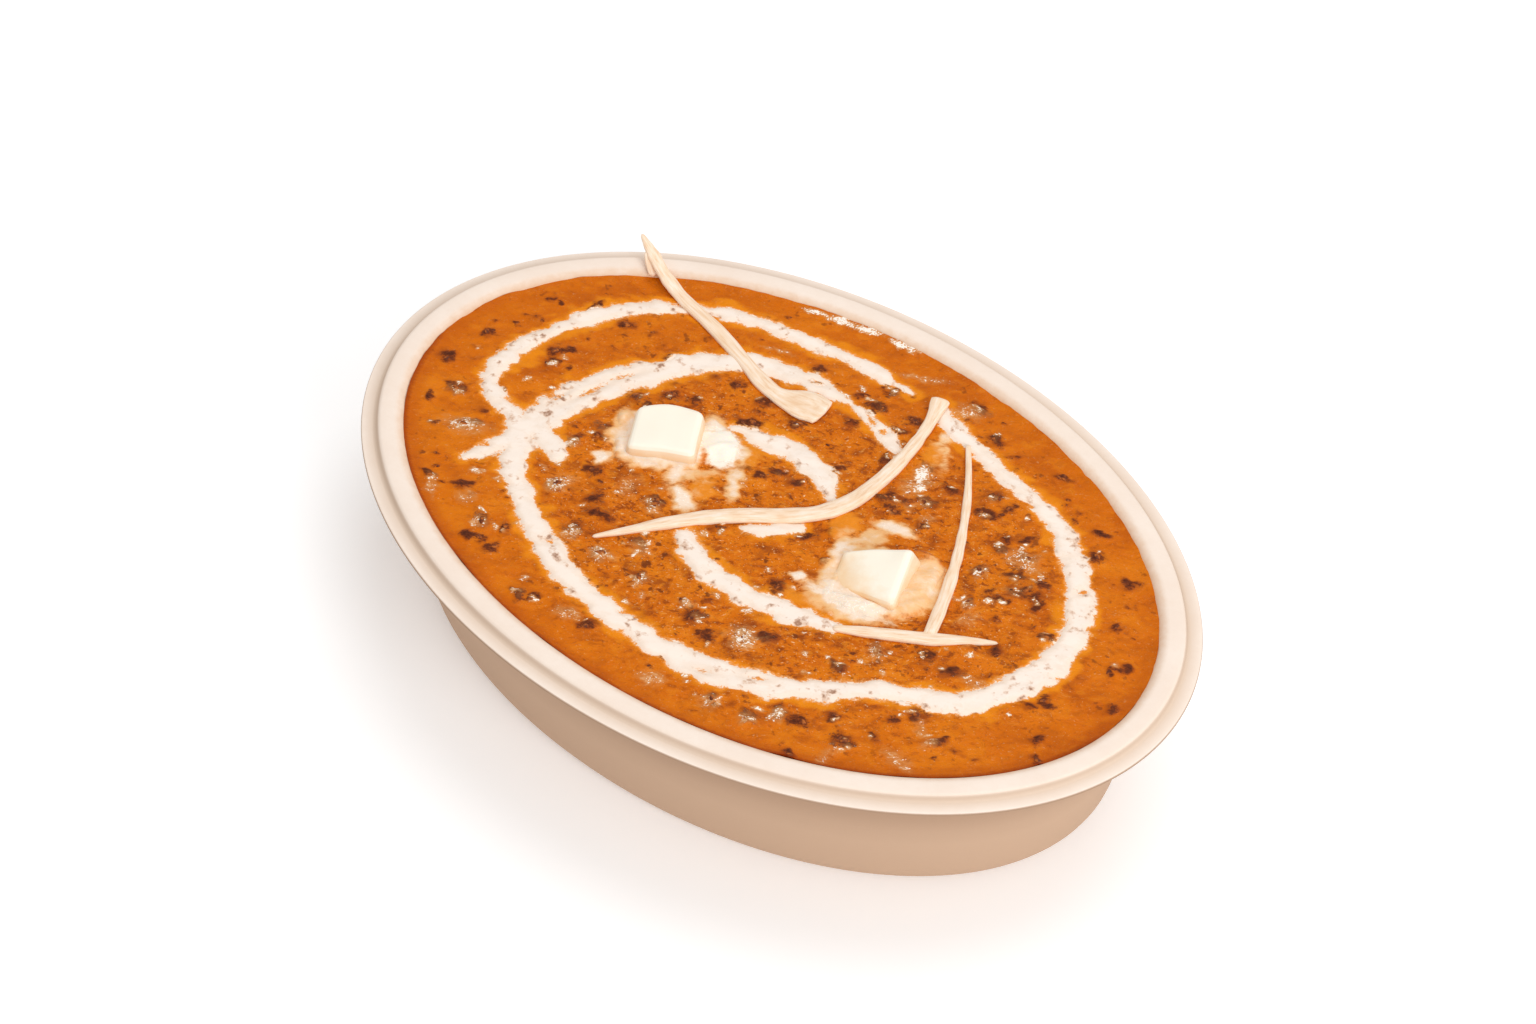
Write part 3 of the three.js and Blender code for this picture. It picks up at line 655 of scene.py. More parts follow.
# The colours of gravy, lentils, fat and cream, one over another. The dal, the cream and the fat
# share them, so that their ragged edges run on from piece to piece.
def surfacePaint(tree):
    place = addNode(tree, "ShaderNodeTexCoord").outputs["Object"]
    field = {
        name: addNode(tree, "ShaderNodeAttribute", {"attribute_name": name}).outputs["Fac"]
        for name in ("creamEdge", "lentil", "froth", "fat", "fatWhite", "stirred", "wallShade")
    }
    # the stirring has drawn everything out along one way, and bent it
    stirred = addNode(
        tree,
        "ShaderNodeMapping",
        {"vector_type": "TEXTURE", "Rotation": (0, 0, math.radians(32)), "Scale": (1.3, 0.9, 1)},
        {"Vector": place},
    ).outputs[0]
    pattern = {"Scale": 1 / (5 * mm), "Detail": 2}
    bend = addNode(tree, "ShaderNodeTexNoise", pattern, {"Vector": place}).outputs["Color"]
    amount = {"operation": "MULTIPLY_ADD", 1: (3 * mm, 3 * mm, 0)}
    swirl = addNode(tree, "ShaderNodeVectorMath", amount, {0: bend, 2: stirred}).outputs[0]
    # size in mm of each pattern, its detail and roughness, and the way it runs
    noise = {}
    for name, size, detail, rough, way in (
        ("broad", 12, 2, 0.5, swirl),
        ("blot", 3.2, 4, 0.6, swirl),
        ("streak", 1.7, 4, 0.62, swirl),
        ("fine", 0.8, 4, 0.65, swirl),
        ("grain", 0.38, 2, 0.5, swirl),
        ("dots", 3.2, 3, 0.55, place),
    ):
        pattern = {"Scale": 1 / (size * mm), "Detail": detail, "Roughness": rough}
        noise[name] = addNode(tree, "ShaderNodeTexNoise", pattern, {"Vector": way}).outputs["Fac"]

    # each field with shares of the patterns added, so that its edge breaks up
    mixed = {**noise, "wall": field["wallShade"]}
    for name, base, parts in (
        ("edge", field["creamEdge"], (("fine", 2.6), ("grain", 1.0))),
        ("halo", field["creamEdge"], (("broad", 9.0), ("blot", 3.0))),
        ("lentilRough", field["lentil"], (("streak", 0.9), ("fine", 1.2), ("grain", 0.8))),
        ("lentilSoft", field["lentil"], (("blot", 0.8), ("streak", 0.5))),
        ("frothRough", field["froth"], (("streak", 1.1), ("fine", 1.4), ("grain", 0.6))),
        ("frothSoft", field["froth"], (("streak", 1.0),)),
        ("paintedGlint", field["froth"], (("fine", 1.8), ("grain", 2.4))),
        ("fatRough", field["fat"], (("streak", 0.8), ("fine", 0.3))),
        ("fatPale", field["fatWhite"], (("blot", 0.4), ("streak", 0.45))),
        ("bead", field["fatWhite"], (("fine", 1.6), ("grain", 1.4))),
        ("wallShadeRough", field["wallShade"], (("streak", 0.4),)),
        ("speck", noise["dots"], (("fine", 0.12),)),
        ("paintedSparkle", noise["fine"], (("grain", 1.2),)),
    ):
        total = base
        for pattern, share in parts:
            middle, amount = {"operation": "SUBTRACT", 1: 0.5}, {"operation": "MULTIPLY_ADD", 1: share}
            away = addNode(tree, "ShaderNodeMath", middle, {0: noise[pattern]}).outputs[0]
            total = addNode(tree, "ShaderNodeMath", amount, {0: away, 2: total}).outputs[0]
        mixed[name] = total

    colour = addNode(tree, "ShaderNodeRGB").outputs[0]
    colour.default_value = linearColour("d26a06")
    # the layer's name if others stay within it, pattern or field, where the layer begins and is
    # full, how strong it is, its colour, and the layer that it stays within
    shares = {"stirred": field["stirred"]}
    for name, source, start, full, strength, over, within in (
        ("", "broad", 0.48, 0.7, 0.6, "e07a0c", None),
        ("", "broad", 0.48, 0.3, 0.6, "bc5806", None),
        ("", "blot", 0.5, 0.66, 0.75, "964410", "stirred"),
        ("", "blot", 0.46, 0.34, 0.45, "e27f14", None),
        ("", "streak", 0.52, 0.66, 0.55, "e6881e", "stirred"),
        ("", "streak", 0.46, 0.34, 0.8, "8a3c0e", "stirred"),
        ("", "fine", 0.57, 0.7, 0.6, "f09c40", "stirred"),
        ("", "fine", 0.43, 0.32, 0.7, "7c360e", "stirred"),
        # pale specks and painted highlights scattered over the stirred middle
        ("", "paintedSparkle", 0.71, 0.84, 0.75, "f6cc9a", "stirred"),
        ("", "dots", 0.37, 0.3, 0.75, "6a3010", "stirred"),
        ("", "dots", 0.33, 0.27, 0.5, "7a3a12", None),
        # painted shade where the gravy meets the wall, most at the front
        ("", "wallShadeRough", 0.1, 1.0, 0.5, "b45006", None),
        ("", "halo", 2.6, 0.2, 0.8, "ee8c10", None),
        ("", "lentilSoft", 0.08, 0.75, 0.8, "8c3e12", None),
        ("", "lentilRough", 0.42, 0.78, 0.9, "602c16", None),
        ("", "lentilRough", 0.8, 1.1, 0.75, "3c1a10", None),
        ("", "frothSoft", 0.3, 0.8, 0.5, "c98448", None),
        ("", "frothRough", 0.68, 1.05, 0.65, "e4b07c", None),
        # painted highlights: white glints in the froth
        ("", "paintedGlint", 1.08, 1.25, 0.95, "fff6ea", None),
        ("fat", "fatRough", 0.1, 0.8, 0.9, "ea8c22", None),
        ("", "fatPale", 0.1, 0.45, 0.9, "f5c992", "fat"),
        ("", "fatPale", 0.42, 0.8, 0.95, "fae6d3", "fat"),
        ("", "bead", 0.95, 1.12, 0.9, "fff5e6", "fat"),
        # painted shade in a thin line along the wall, most at the front
        ("", "wall", 0.9, 1.0, 0.75, "963804", None),
        ("", "edge", 0.9, 0.1, 0.6, "f4b474", None),
        ("cream", "edge", 0.3, -0.2, 1.0, "faeadc", None),
        ("", "edge", -2.4, -0.4, 0.5, "f2d8c0", "cream"),
        ("", "blot", 0.5, 0.7, 0.5, "f0dac6", "cream"),
        ("", "speck", 0.57, 0.66, 0.55, "d2a27e", "cream"),
        ("", "speck", 0.64, 0.72, 0.75, "8e5a3a", "cream"),
    ):
        spread = {"From Min": start, "From Max": full, "To Max": strength}
        spread["interpolation_type"] = "SMOOTHSTEP"
        share = addNode(tree, "ShaderNodeMapRange", spread, {"Value": mixed[source]}).outputs[0]
        if within:
            both = {0: share, 1: shares[within]}
            share = addNode(tree, "ShaderNodeMath", {"operation": "MULTIPLY"}, both).outputs[0]
        shares[name] = share
        layer = {"data_type": "RGBA", 7: linearColour(over)}
        colour = addNode(tree, "ShaderNodeMix", layer, {0: share, 6: colour}).outputs[2]
    return colour, noise


# Lentil gravy simmered with butter: thick, opaque, orange-brown with stirred streaks of oil,
# and wet, so that small lumps throw some sharp glints; more white glints and sparkle are painted on as
# highlights.
def lentilGravy():
    material, tree = newMaterial("lentil_gravy_with_butterfat")
    colour, noise = surfacePaint(tree)
    return finishMaterial(
        material,
        colour,
        [(noise["fine"], 0.5, 0.5), (noise["grain"], 0.35, 0.3)],
        {
            "Roughness": 0.34,
            "IOR": 1.36,
            "Specular IOR Level": 0.08,
            "Coat Weight": 0.05,
            "Coat Roughness": 0.08,
            "Coat IOR": 1.36,
        },
    )


# Poured cream: opaque warm white, soft sheen, almost level, thinning to orange at its edges.
def pouredCream():
    material, tree = newMaterial("poured_cream")
    colour, noise = surfacePaint(tree)
    settings = {"Roughness": 0.42, "IOR": 1.36, "Specular IOR Level": 0.35}
    return finishMaterial(material, colour, [(noise["fine"], 0.25, 0.3)], settings)


# A fine flat grid over a box, with what lies outside cut away.
def gridOver(name, low, high, cell, outside):
    clearSelection()
    counts = [max(2, int(round((h - l) / cell))) for l, h in zip(low, high)]
    bpy.ops.mesh.primitive_grid_add(x_subdivisions=counts[0], y_subdivisions=counts[1], size=1)
    piece = bpy.context.object
    piece.name = name
    bpy.ops.object.mode_set(mode="EDIT")
    bpy.ops.transform.resize(
        value=((high[0] - low[0]) * mm, (high[1] - low[1]) * mm, 1), center_override=(0, 0, 0)
    )
    bpy.ops.transform.translate(value=((low[0] + high[0]) / 2 * mm, (low[1] + high[1]) / 2 * mm, 0))
    bpy.ops.object.mode_set(mode="OBJECT")
    places = placesOf(piece)
    selectVerts(piece, outside(places[:, 0], places[:, 1]))
    bpy.ops.mesh.delete(type="VERT")
    bpy.ops.object.mode_set(mode="OBJECT")
    return piece


dal = {"cell": 0.56, "intoWall": 0.25, "rings": (42.2, 36, 24, 14, 8, 4, 2)}


def makeDal():
    rim = np.array(dalHalf) + dal["intoWall"]
    reach = lambda x, y: np.hypot(x / rim[0], y / rim[1])
    widest = 1 - 0.35 * dal["cell"] / rim[1]
    piece = gridOver("dal_body", -rim, rim, dal["cell"], lambda x, y: reach(x, y) > widest)
    places = placesOf(piece)
    # the stepped edge of the grid is drawn out onto the oval
    selectVerts(piece, np.zeros(len(places)))
    bpy.ops.mesh.select_non_manifold(extend=False)
    bpy.ops.object.mode_set(mode="OBJECT")
    rimVerts = np.zeros(len(places), bool)
    piece.data.vertices.foreach_get("select", rimVerts)
    places[rimVerts, :2] /= reach(places[rimVerts, 0], places[rimVerts, 1])[:, None]
    x, y = places[:, 0], places[:, 1]
    fields = surfaceFields(x, y)
    places[:, 2] = level + dalRelief(x, y, fields)
    setPlaces(piece, places)
    storeFields(piece, fields)
    # down the wall to the floor of the bowl
    bpy.ops.object.mode_set(mode="EDIT")
    bpy.ops.mesh.select_mode(type="EDGE")
    bpy.ops.mesh.select_all(action="DESELECT")
    bpy.ops.mesh.select_non_manifold(extend=False)
    last, size = None, rim
    for z in (*dal["rings"], bowl["sheet"] - dal["intoWall"] / 2):
        nextSize = np.array([ovalExtra, 0]) + wallRadius(max(z, bowl["sheet"] + 0.02)) + dal["intoWall"]
        bpy.ops.mesh.extrude_edges_move()
        grow = nextSize / size
        if last is None:
            bpy.ops.transform.resize(value=(grow[0], grow[1], 0), center_override=(0, 0, z * mm))
        else:
            bpy.ops.transform.resize(value=(grow[0], grow[1], 1), center_override=(0, 0, 0))
            bpy.ops.transform.translate(value=(0, 0, (z - last) * mm))
        last, size = z, nextSize
    bpy.ops.mesh.edge_face_add()
    bpy.ops.mesh.select_all(action="SELECT")
    bpy.ops.mesh.normals_make_consistent(inside=False)
    bpy.ops.object.mode_set(mode="OBJECT")
    shadeSmooth(piece, 60)
    return piece


# Gives a flat skin its thickness, downwards.
def thicken(piece):
    solid = piece.modifiers.new("skin", "SOLIDIFY")
    solid.thickness = creamFinish["skin"] * mm
    solid.offset = -1
    applyModifiers(piece)
    shadeSmooth(piece, 60)


def layCream(name, strokes):
    stops = np.array([row for stroke in strokes for row in cream[stroke]])
    low = stops[:, :2].min(0) - creamFinish["margin"]
    high = stops[:, :2].max(0) + creamFinish["margin"]
    outside = lambda x, y: creamDistance(x, y, strokes) > creamFinish["skirt"]
    piece = gridOver(name, low, high, creamFinish["cell"], outside)
    places = placesOf(piece)
    x, y = places[:, 0], places[:, 1]
    own = creamDistance(x, y, strokes)
    crown = np.tanh(-own / creamFinish["edgeSoft"]) * creamFinish["rise"]
    places[:, 2] = level + lowRelief(x, y) + crown + (unevenness(x, y, 1.5, 8, 2, 10) - 0.5) * 0.1
    setPlaces(piece, places)
    storeFields(piece, surfaceFields(x, y))
    thicken(piece)
    return piece


butter = {
    "left": {
        "x": -35.3,
        "y": 1.5,
        "top": 3.9,
        "length": 16.4,
        "width": 15,
        "turn": 30,
        "tilt": 3,
        "lean": 0,
        "taper": 0.05,
        "bulge": 2.4,
        "footShift": 0,
    },
    "right": {
        "x": 29.9,
        "y": -2.3,
        "top": 2.5,
        "length": 17,
        "width": 16.8,
        "turn": 20,
        "tilt": 14,
        "lean": 11,
        "taper": 0.4,
        "bulge": 0.6,
        "footShift": 0.8,
    },
    "thick": 8,
    "round": 1.6,
    "slump": 0.12,
}


def makePat(side):
    pat = butter[side]
    clearSelection()
    bpy.ops.mesh.primitive_cube_add(size=1)
    piece = bpy.context.object
    piece.name = "butter_pat_" + side
    bpy.ops.object.mode_set(mode="EDIT")
    bpy.ops.mesh.select_all(action="SELECT")
    bpy.ops.transform.resize(
        value=(pat["length"] * mm, pat["width"] * mm, butter["thick"] * mm), center_override=(0, 0, 0)
    )
    bpy.ops.mesh.bevel(offset=butter["round"] * mm, segments=3, affect="EDGES")
    bpy.ops.mesh.subdivide(number_cuts=3)
    bpy.ops.object.mode_set(mode="OBJECT")
    smooth = piece.modifiers.new("soften", "SUBSURF")
    smooth.levels = smooth.render_levels = 2
    applyModifiers(piece)
    places = placesOf(piece)
    x, y, z = places.T
    spread = 1 + butter["slump"] * (0.5 - z / butter["thick"])
    end = 1 - pat["taper"] * (0.5 - x / pat["length"])
    sag = 1 + 0.06 * (unevenness(x + z, y - z, 6, 31) - 0.5)
    out = pat["bulge"] * ramp(y, -2, pat["width"] / 2) * (1 - (2 * x / pat["length"]) ** 2)
    places = np.stack([x * spread * sag, y * spread * end * sag + out, z - butter["thick"] / 2], 1)
    places[:, 2] += (unevenness(x, y, 5, 32) - 0.5) * 0.5 * ramp(z, 0, 4)
    turned = Matrix.Rotation(math.radians(pat["turn"]), 3, "Z")
    turned = turned @ Matrix.Rotation(math.radians(pat["lean"]), 3, "X")
    turned = turned @ Matrix.Rotation(-math.radians(pat["tilt"]), 3, "Y")
    places = places @ np.array(turned).T + np.array([pat["x"], pat["y"], level + pat["top"]])
    setPlaces(piece, places)
    shadeSmooth(piece)
    # how steep each place is, for painted shade on the pat's sides
    storeField(piece, "steepShade", 1 - ramp(normalsOf(piece)[:, 2], 0.35, 0.85))
    return piece


# Butter that has run off each pat and set round its foot: [x, y, half length, half width, turn].
melted = {
    "left": [
        [-24.6, 8.8, 6.4, 5, 140], [-29.5, 12, 4.4, 2.6, 125], [-37, -6.6, 6.4, 2.2, 28],
        [-47.4, 0.8, 1.8, 3.6, 22], [-42, -6.4, 2, 1.8, 0],
    ],
    "right": [
        [40, 4, 9.6, 4.6, 108], [43, -3.4, 2.4, 4.6, 160], [20.6, 3.4, 2.2, 5.4, 165],
        [30.6, -10.6, 8.8, 3, 2], [37, 11.6, 5, 2, 170],
    ],
    "skirt": 1.3,
    "rise": 1.5,
    "slope": 1.5,
    "cell": 0.34,
    "margin": 14,
}


def meltDistance(x, y, side):
    wx = x + (unevenness(x, y, 3.2, 51) - 0.5) * 1.6
    wy = y + (unevenness(x, y, 2.8, 52) - 0.5) * 1.6
    near = np.exp(melted["skirt"] - patDistance(wx, wy, side))
    for row in melted[side]:
        near = near + np.exp(-ovalDistance(wx, wy, row) * 1.6)
    return -np.log(near + 1e-12)


def layMelt(side):
    rows = np.array(melted[side])
    low, high = rows[:, :2].min(0) - melted["margin"], rows[:, :2].max(0) + melted["margin"]
    outside = lambda x, y: meltDistance(x, y, side) > 0.3
    piece = gridOver("butter_melted_" + side, low, high, melted["cell"], outside)
    places = placesOf(piece)
    x, y = places[:, 0], places[:, 1]
    inside = np.clip(-meltDistance(x, y, side), -0.4, 8)
    crown = melted["rise"] * (1 - np.exp(-inside / melted["slope"]))
    # it dips out of sight under the pat, and lies thin at the left of the leaning one
    crown = crown - 1.6 * ramp(-patDistance(x, y, side), 0.6, 2)
    if side == "right":
        crown = crown * (0.25 + 0.75 * ramp(x, 20, 36))
    wrinkles = (unevenness(x, y, 1.5, 53, 3, 60) - 0.5) * 0.3 + (unevenness(x, y, 3.5, 54) - 0.5) * 0.4
    places[:, 2] = level + lowRelief(x, y) + crown * (1 + wrinkles)
    setPlaces(piece, places)
    storeFields(piece, surfaceFields(x, y))
    thicken(piece)
    return piece


# Butter that has melted and half set: smooth and wet, and it takes the colour of what it lies on.
def meltedButter():
    material, tree = newMaterial("melted_butter")
    colour, noise = surfacePaint(tree)
    return finishMaterial(
        material,
        colour,
        [(noise["streak"], 0.3, 0.3)],
        {
            "Roughness": 0.28,
            "IOR": 1.46,
            "Specular IOR Level": 0.3,
            "Subsurface Weight": 0.2,
            "Subsurface Scale": 1.2 * mm,
            "Subsurface Radius": (1.0, 0.7, 0.4),
        },
    )


# Chilled salted butter starting to melt: pale, waxy and a little translucent, so light goes
# some way into its edges; painted shade makes its steep sides a darker peach than its top, and it is
# yellower where it is turning to oil.
def softButter():
    material, tree = newMaterial("soft_butter")
    place = addNode(tree, "ShaderNodeTexCoord").outputs["Object"]
    height = addNode(tree, "ShaderNodeSeparateXYZ", links={0: place}).outputs["Z"]
    pattern = {"Scale": 1 / (3 * mm), "Detail": 3}
    cloud = addNode(tree, "ShaderNodeTexNoise", pattern, {"Vector": place}).outputs["Fac"]
    waver = {"operation": "MULTIPLY_ADD", 1: 2.5 * mm}
    foot = addNode(tree, "ShaderNodeMath", waver, {0: cloud, 2: height}).outputs[0]
    steepShade = addNode(tree, "ShaderNodeAttribute", {"attribute_name": "steepShade"}).outputs["Fac"]
    layers = (
        # painted shade on the steep sides
        (steepShade, 0, 1, 1, "fbe0bf"),
        (foot, (level + 4.2) * mm, (level + 1.6) * mm, 0.85, "f5c994"),
    )
    return finishMaterial(
        material,
        paint(tree, "fff5e3", layers),
        [(cloud, 0.15, 0.3)],
        {
            "Roughness": 0.4,
            "IOR": 1.46,
            "Subsurface Weight": 0.1,
            "Subsurface Scale": 1.5 * mm,
            "Subsurface Radius": (1.0, 0.95, 0.85),
            "Specular IOR Level": 0.25,
        },
    )


# Stops [x, y, rise above the dal, half width, half thickness].
ginger = {
    "upper": [
        [-84, 50, 6.5, 0.35, 0.35], [-81.2, 48.9, 5.5, 1.1, 0.6], [-78, 47.8, 4.3, 1.6, 0.7],
        [-74.4, 46.3, 3, 1.8, 0.8], [-70, 45, 1.6, 1.8, 0.8], [-64, 43.4, 0.6, 1.9, 0.8],
        [-52, 40.6, 0.4, 2, 0.8], [-40, 36.6, 0.4, 2, 0.8], [-30.5, 33.2, 0.4, 2.2, 0.8],
        [-24.5, 32.4, 0.4, 2.7, 0.8], [-17.5, 34, 0.5, 5.1, 0.8], [-12.4, 34.6, 0.7, 4.6, 0.6],
    ],
    "prong": [[-80, 48.3, 4.9, 1.4, 0.5], [-77.3, 46.4, 3.2, 1.7, 0.5], [-75.3, 44.2, 1.2, 0.9, 0.4]],
    "middle": [
        [-26.8, -35.2, 0.2, 0.4, 0.4], [-21.6, -27.6, 0.3, 1.2, 0.7], [-16.4, -19.8, 0.4, 1.8, 0.9],
        [-10.6, -12, 0.4, 2.1, 0.9], [-4, -5, 0.4, 2.2, 0.9], [2.6, 0.8, 0.4, 2.3, 0.9],
        [8.2, 7.4, 0.4, 2.4, 0.9], [11.2, 15.5, 0.4, 2.3, 0.9], [11.8, 24.5, 0.4, 2, 0.9],
        [11.3, 33.5, 0.4, 1.8, 0.9], [10.2, 41.5, 0.5, 1.6, 0.8], [8.4, 49.5, 0.8, 1.6, 0.8],
        [5.8, 57.4, 1.6, 2.3, 0.7],
    ],
    "right": [
        [19.8, 49.8, 0.4, 0.6, 0.5], [26, 41.8, 0.4, 0.8, 0.6], [31.6, 33.8, 0.4, 1, 0.7],
        [36.4, 26, 0.4, 1.1, 0.8], [41.4, 17, 0.4, 1.3, 0.8], [46.6, 6, 0.4, 1.6, 0.8],
        [50.9, -4.8, 0.4, 1.6, 0.8], [52, -8, 0.3, 1.5, 0.7],
    ],
    "lower": [
        [33.6, -20.6, 0.2, 0.8, 0.5], [39.5, -16.9, 0.3, 1.5, 0.7], [46, -12.7, 0.3, 1.8, 0.8],
        [53, -8, 0.3, 1.8, 0.8], [59.4, -3, 0.3, 1.3, 0.7], [65.3, 1.3, 0.3, 0.3, 0.4],
    ],
}
gingerCut = {"round": 28, "step": 0.5, "ridge": 0.06, "frayed": 0.1}


def makeSliver(name, stops, seed):
    length = sum(math.dist(a[:2], b[:2]) for a, b in zip(stops, stops[1:]))
    around, along = gingerCut["round"], int(length / gingerCut["step"])
    clearSelection()
    bpy.ops.mesh.primitive_grid_add(x_subdivisions=along, y_subdivisions=around, size=1)
    piece = bpy.context.object
    piece.name = name
    grid = placesOf(piece) * mm + 0.5
    rows = smoothStops(stops, 16)
    at = np.clip(grid[:, 0], 0, 1) * (len(rows) - 1)
    columns = [np.interp(at, np.arange(len(rows)), rows[:, k]) for k in range(5)]
    x, y, rise, half, thick = columns
    slope = np.gradient(rows[:, :2], axis=0)
    slope /= np.linalg.norm(slope, axis=1)[:, None]
    sx, sy = (np.interp(at, np.arange(len(rows)), slope[:, k]) for k in range(2))
    angle = grid[:, 1] * 2 * math.pi
    end = np.minimum(grid[:, 0], 1 - grid[:, 0]) * length
    close = np.sqrt(np.clip(end / 0.8, 0, 1))
    fray = 1 + (unevenness(grid[:, 0] * length, angle * 0, 3.0, seed) - 0.5) * 2 * gingerCut["frayed"]
    half = half * close * fray
    thick = thick * close
    wrap = np.minimum(angle / (2 * math.pi), 1 - angle / (2 * math.pi)) * 24
    ridge = (unevenness(grid[:, 0] * length, wrap, 1.1, seed + 1, 7) - 0.5) * 2 * gingerCut["ridge"]
    across = np.sign(np.cos(angle)) * np.abs(np.cos(angle)) ** 0.75 * half
    up = np.sign(np.sin(angle)) * np.abs(np.sin(angle)) ** 0.7 * (thick + ridge * close)
    places = np.stack([x - sy * across, y + sx * across, level + rise + up], 1)
    setPlaces(piece, places)
    # the cut runs along u and round it runs v, in mm
    layer = piece.data.uv_layers.active
    flat = np.zeros(len(layer.data) * 2, np.float32)
    layer.data.foreach_get("uv", flat)
    flat = flat.reshape(-1, 2) * np.array([length, 8.0])
    layer.data.foreach_set("uv", flat.astype(np.float32).ravel())
    bpy.ops.object.mode_set(mode="EDIT")
    bpy.ops.mesh.select_all(action="SELECT")
    bpy.ops.mesh.remove_doubles(threshold=0.004 * mm)
    bpy.ops.mesh.normals_make_consistent(inside=False)
    bpy.ops.object.mode_set(mode="OBJECT")
    shadeSmooth(piece)
    return piece


# Peeled root ginger cut into slivers: moist, pale straw to peach, with fine lengthwise fibres
# that show as thin darker lines and ridges.
def cutGinger():
    material, tree = newMaterial("cut_root_ginger")
    along = addNode(tree, "ShaderNodeUVMap").outputs[0]
    drawn = addNode(tree, "ShaderNodeMapping", {"Scale": (0.12, 1.6, 1)}, {"Vector": along}).outputs[0]
    strands = {"Scale": 1.6, "Detail": 4, "Roughness": 0.6}
    fibre = addNode(tree, "ShaderNodeTexNoise", strands, {"Vector": drawn}).outputs["Fac"]
    place = addNode(tree, "ShaderNodeTexCoord").outputs["Object"]
    pattern = {"Scale": 1 / (5 * mm), "Detail": 2}
    cloud = addNode(tree, "ShaderNodeTexNoise", pattern, {"Vector": place}).outputs["Fac"]
    height = addNode(tree, "ShaderNodeSeparateXYZ", links={0: place}).outputs["Z"]
    layers = (
        (fibre, 0.5, 0.64, 0.85, "fdebd9"),
        (fibre, 0.47, 0.36, 0.65, "e8bb90"),
        (cloud, 0.5, 0.75, 0.5, "f0c8a0"),
        (height, (level + 0.35) * mm, (level - 0.2) * mm, 0.7, "dd9a55"),
    )
    settings = {"Roughness": 0.4, "IOR": 1.4, "Specular IOR Level": 0.4}
    return finishMaterial(material, paint(tree, "f8dcbe", layers), [(fibre, 0.25, 0.25)], settings)


# Copies of one small shape, joined into one piece: each row is [place, size along x y z, turn, lean].
def strew(name, rows):
    clearSelection()
    bpy.ops.mesh.primitive_ico_sphere_add(subdivisions=2, radius=1)
    seed = bpy.context.object
    bpy.ops.object.mode_set(mode="EDIT")
    bpy.ops.mesh.select_all(action="SELECT")
    bpy.ops.transform.resize(value=(1, 1, 0.96), center_override=(0, 0, 0))
    bpy.ops.object.mode_set(mode="OBJECT")
    shape = placesOf(seed) * mm
    faces = np.array([list(face.vertices) for face in seed.data.polygons])
    bpy.data.objects.remove(seed)
    verts, tris = [], []
    for place, size, turn, lean in rows:
        moved = np.array(Matrix.Rotation(turn, 3, "Z") @ Matrix.Rotation(lean, 3, "X"))
        tris.append(faces + len(verts) * len(shape))
        verts.append((shape * np.array(size)) @ moved.T + np.array(place))
    mesh = bpy.data.meshes.new(name)
    mesh.from_pydata((np.vstack(verts) * mm).tolist(), [], np.vstack(tris).tolist())
    piece = bpy.data.objects.new(name, mesh)
    bpy.context.scene.collection.objects.link(piece)
    shadeSmooth(piece)
    return piece


def makeLentils():
    draw = np.random.default_rng(71)
    rows = np.array(lentilRows)
    fields = surfaceFields(rows[:, 0], rows[:, 1])
    tops = level + dalRelief(rows[:, 0], rows[:, 1], fields)
    placed = []
    for row, top, edge, fat in zip(rows, tops, fields["creamEdge"], fields["fat"]):
        x, y, long, slim, turn, dark = row
        if draw.random() > lentils["raised"] or edge < 1 or fat > 0.25 or dark < 0.6:
            continue
        thick = slim * 0.4
        sink = thick * draw.uniform(0.6, 0.9)
        size = (long * 0.75, slim * 0.75, thick)
        placed.append(((x, y, top - sink), size, math.radians(turn), draw.normal(0, 0.15)))
    return strew("lentils", placed)


# Whole black lentils, boiled soft: dark brown skins with a wet shine and a film of gravy.
def boiledLentil():
    material, tree = newMaterial("boiled_black_lentil")
    place = addNode(tree, "ShaderNodeTexCoord").outputs["Object"]
    pattern = {"Scale": 1 / (1.1 * mm), "Detail": 3}
    film = addNode(tree, "ShaderNodeTexNoise", pattern, {"Vector": place}).outputs["Fac"]
    layers = ((film, 0.38, 0.5, 0.8, "8a4418"), (film, 0.48, 0.6, 0.9, "b8621c"))
    settings = {"Roughness": 0.42, "IOR": 1.4, "Specular IOR Level": 0.25}
    return finishMaterial(material, paint(tree, "5e2a12", layers), [(film, 0.5, 0.3)], settings)


print("bowl")
handOver(makeBowl(), mouldedPulp(), ["bowl"])

print("dal")
handOver(makeDal(), lentilGravy(), ["dal"])

print("cream")
creamLook = pouredCream()
for name, node, strokes in (
    ("cream_ring_poured", "cream_ring", ["ring", "secondTurn", "drop"]),
    ("cream_upper_poured", "cream_inner_upper", ["innerUpper"]),
    ("cream_lower_poured", "cream_inner_lower", ["innerLower"]),
    ("cream_scrap_poured", "cream_under_ginger", ["underMiddle"]),
):
    handOver(layCream(name, strokes), creamLook, [node])

print("butter")
butterLook = softButter()
meltedLook = meltedButter()
for side in ("left", "right"):
    handOver(makePat(side), butterLook, ["butter_" + side])
    handOver(layMelt(side), meltedLook)

print("ginger")
gingerLook = cutGinger()
for seed, (name, stops) in enumerate(ginger.items()):
    nodes = ["ginger_" + name] if name != "prong" else []
    handOver(makeSliver("ginger_sliver_" + name, stops, 40 + 2 * seed), gingerLook, nodes)

print("lentils")
handOver(makeLentils(), boiledLentil())


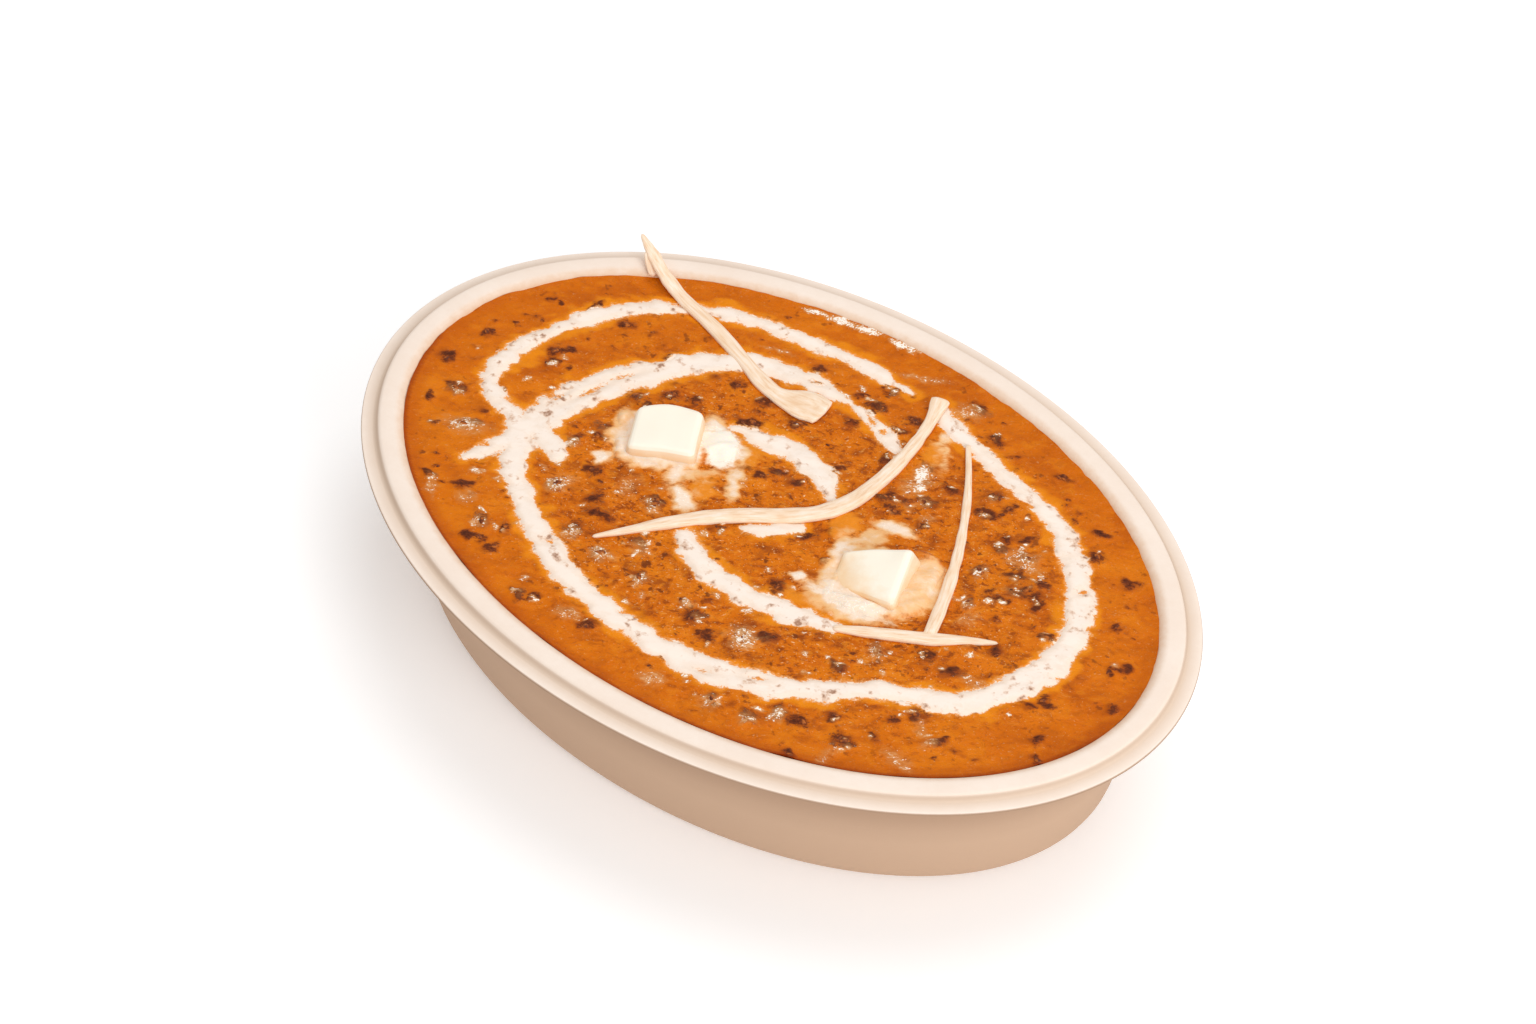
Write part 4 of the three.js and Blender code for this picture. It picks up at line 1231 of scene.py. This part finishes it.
stageSet = {
    "floorSize": 6.0,
    "worldLight": 0.64,
    "keyPlace": (-0.05, 0.5, 1.5),
    "keySize": 1.2,
    "keyPower": 7,
    "sidePlace": (1.3, -0.6, 0.75),
    "sideSize": 0.8,
    "sidePower": 11,
}


def whiteTable():
    material, tree = newMaterial("white_table")
    settings = {
        "Base Color": linearColour("fbfbfb"),
        "Roughness": 0.9,
        "Specular IOR Level": 0.1,
        "Emission Color": (1, 1, 1, 1),
        "Emission Strength": 0.2,
    }
    shader = addNode(tree, "ShaderNodeBsdfPrincipled", settings)
    addNode(tree, "ShaderNodeOutputMaterial", links={"Surface": shader.outputs[0]})
    return material


def addLight(name, place, size, power):
    clearSelection()
    bpy.ops.object.light_add(type="AREA", location=place)
    lamp = bpy.context.object
    lamp.name = name
    lamp.data.shape = "DISK"
    lamp.data.size = size
    lamp.data.energy = power
    lamp.rotation_euler = (Vector((0, 0, 0.04)) - Vector(place)).to_track_quat("-Z", "Y").to_euler()


print("table, light and camera")
clearSelection()
bpy.ops.mesh.primitive_plane_add(size=stageSet["floorSize"])
table = bpy.context.object
table.name = "table_top"
table.data.materials.append(whiteTable())

world = bpy.data.worlds.new("soft_room")
world.use_nodes = True
world.node_tree.nodes["Background"].inputs[0].default_value = (1, 1, 1, 1)
world.node_tree.nodes["Background"].inputs[1].default_value = stageSet["worldLight"]
bpy.context.scene.world = world
for part in ("key", "side"):
    addLight(part + "_light", stageSet[part + "Place"], stageSet[part + "Size"], stageSet[part + "Power"])

camera = bpy.data.objects.new("camera", bpy.data.cameras.new("camera"))
bpy.context.scene.collection.objects.link(camera)
camera.data.sensor_width = 36
camera.data.lens = 99.06
camera.data.shift_x = -0.00427
camera.data.shift_y = 0.00207
camera.data.clip_end = 20
eye, aim, roll = Vector((0.4202, -0.5809, 0.7400)), Vector((0, 0, 0.0429)), math.radians(4.54)
turned = (aim - eye).to_track_quat("-Z", "Y").to_matrix().to_4x4() @ Matrix.Rotation(roll, 4, "Z")
camera.matrix_world = Matrix.Translation(eye) @ turned
bpy.context.scene.camera = camera
bpy.context.scene.view_settings.view_transform = "Standard"
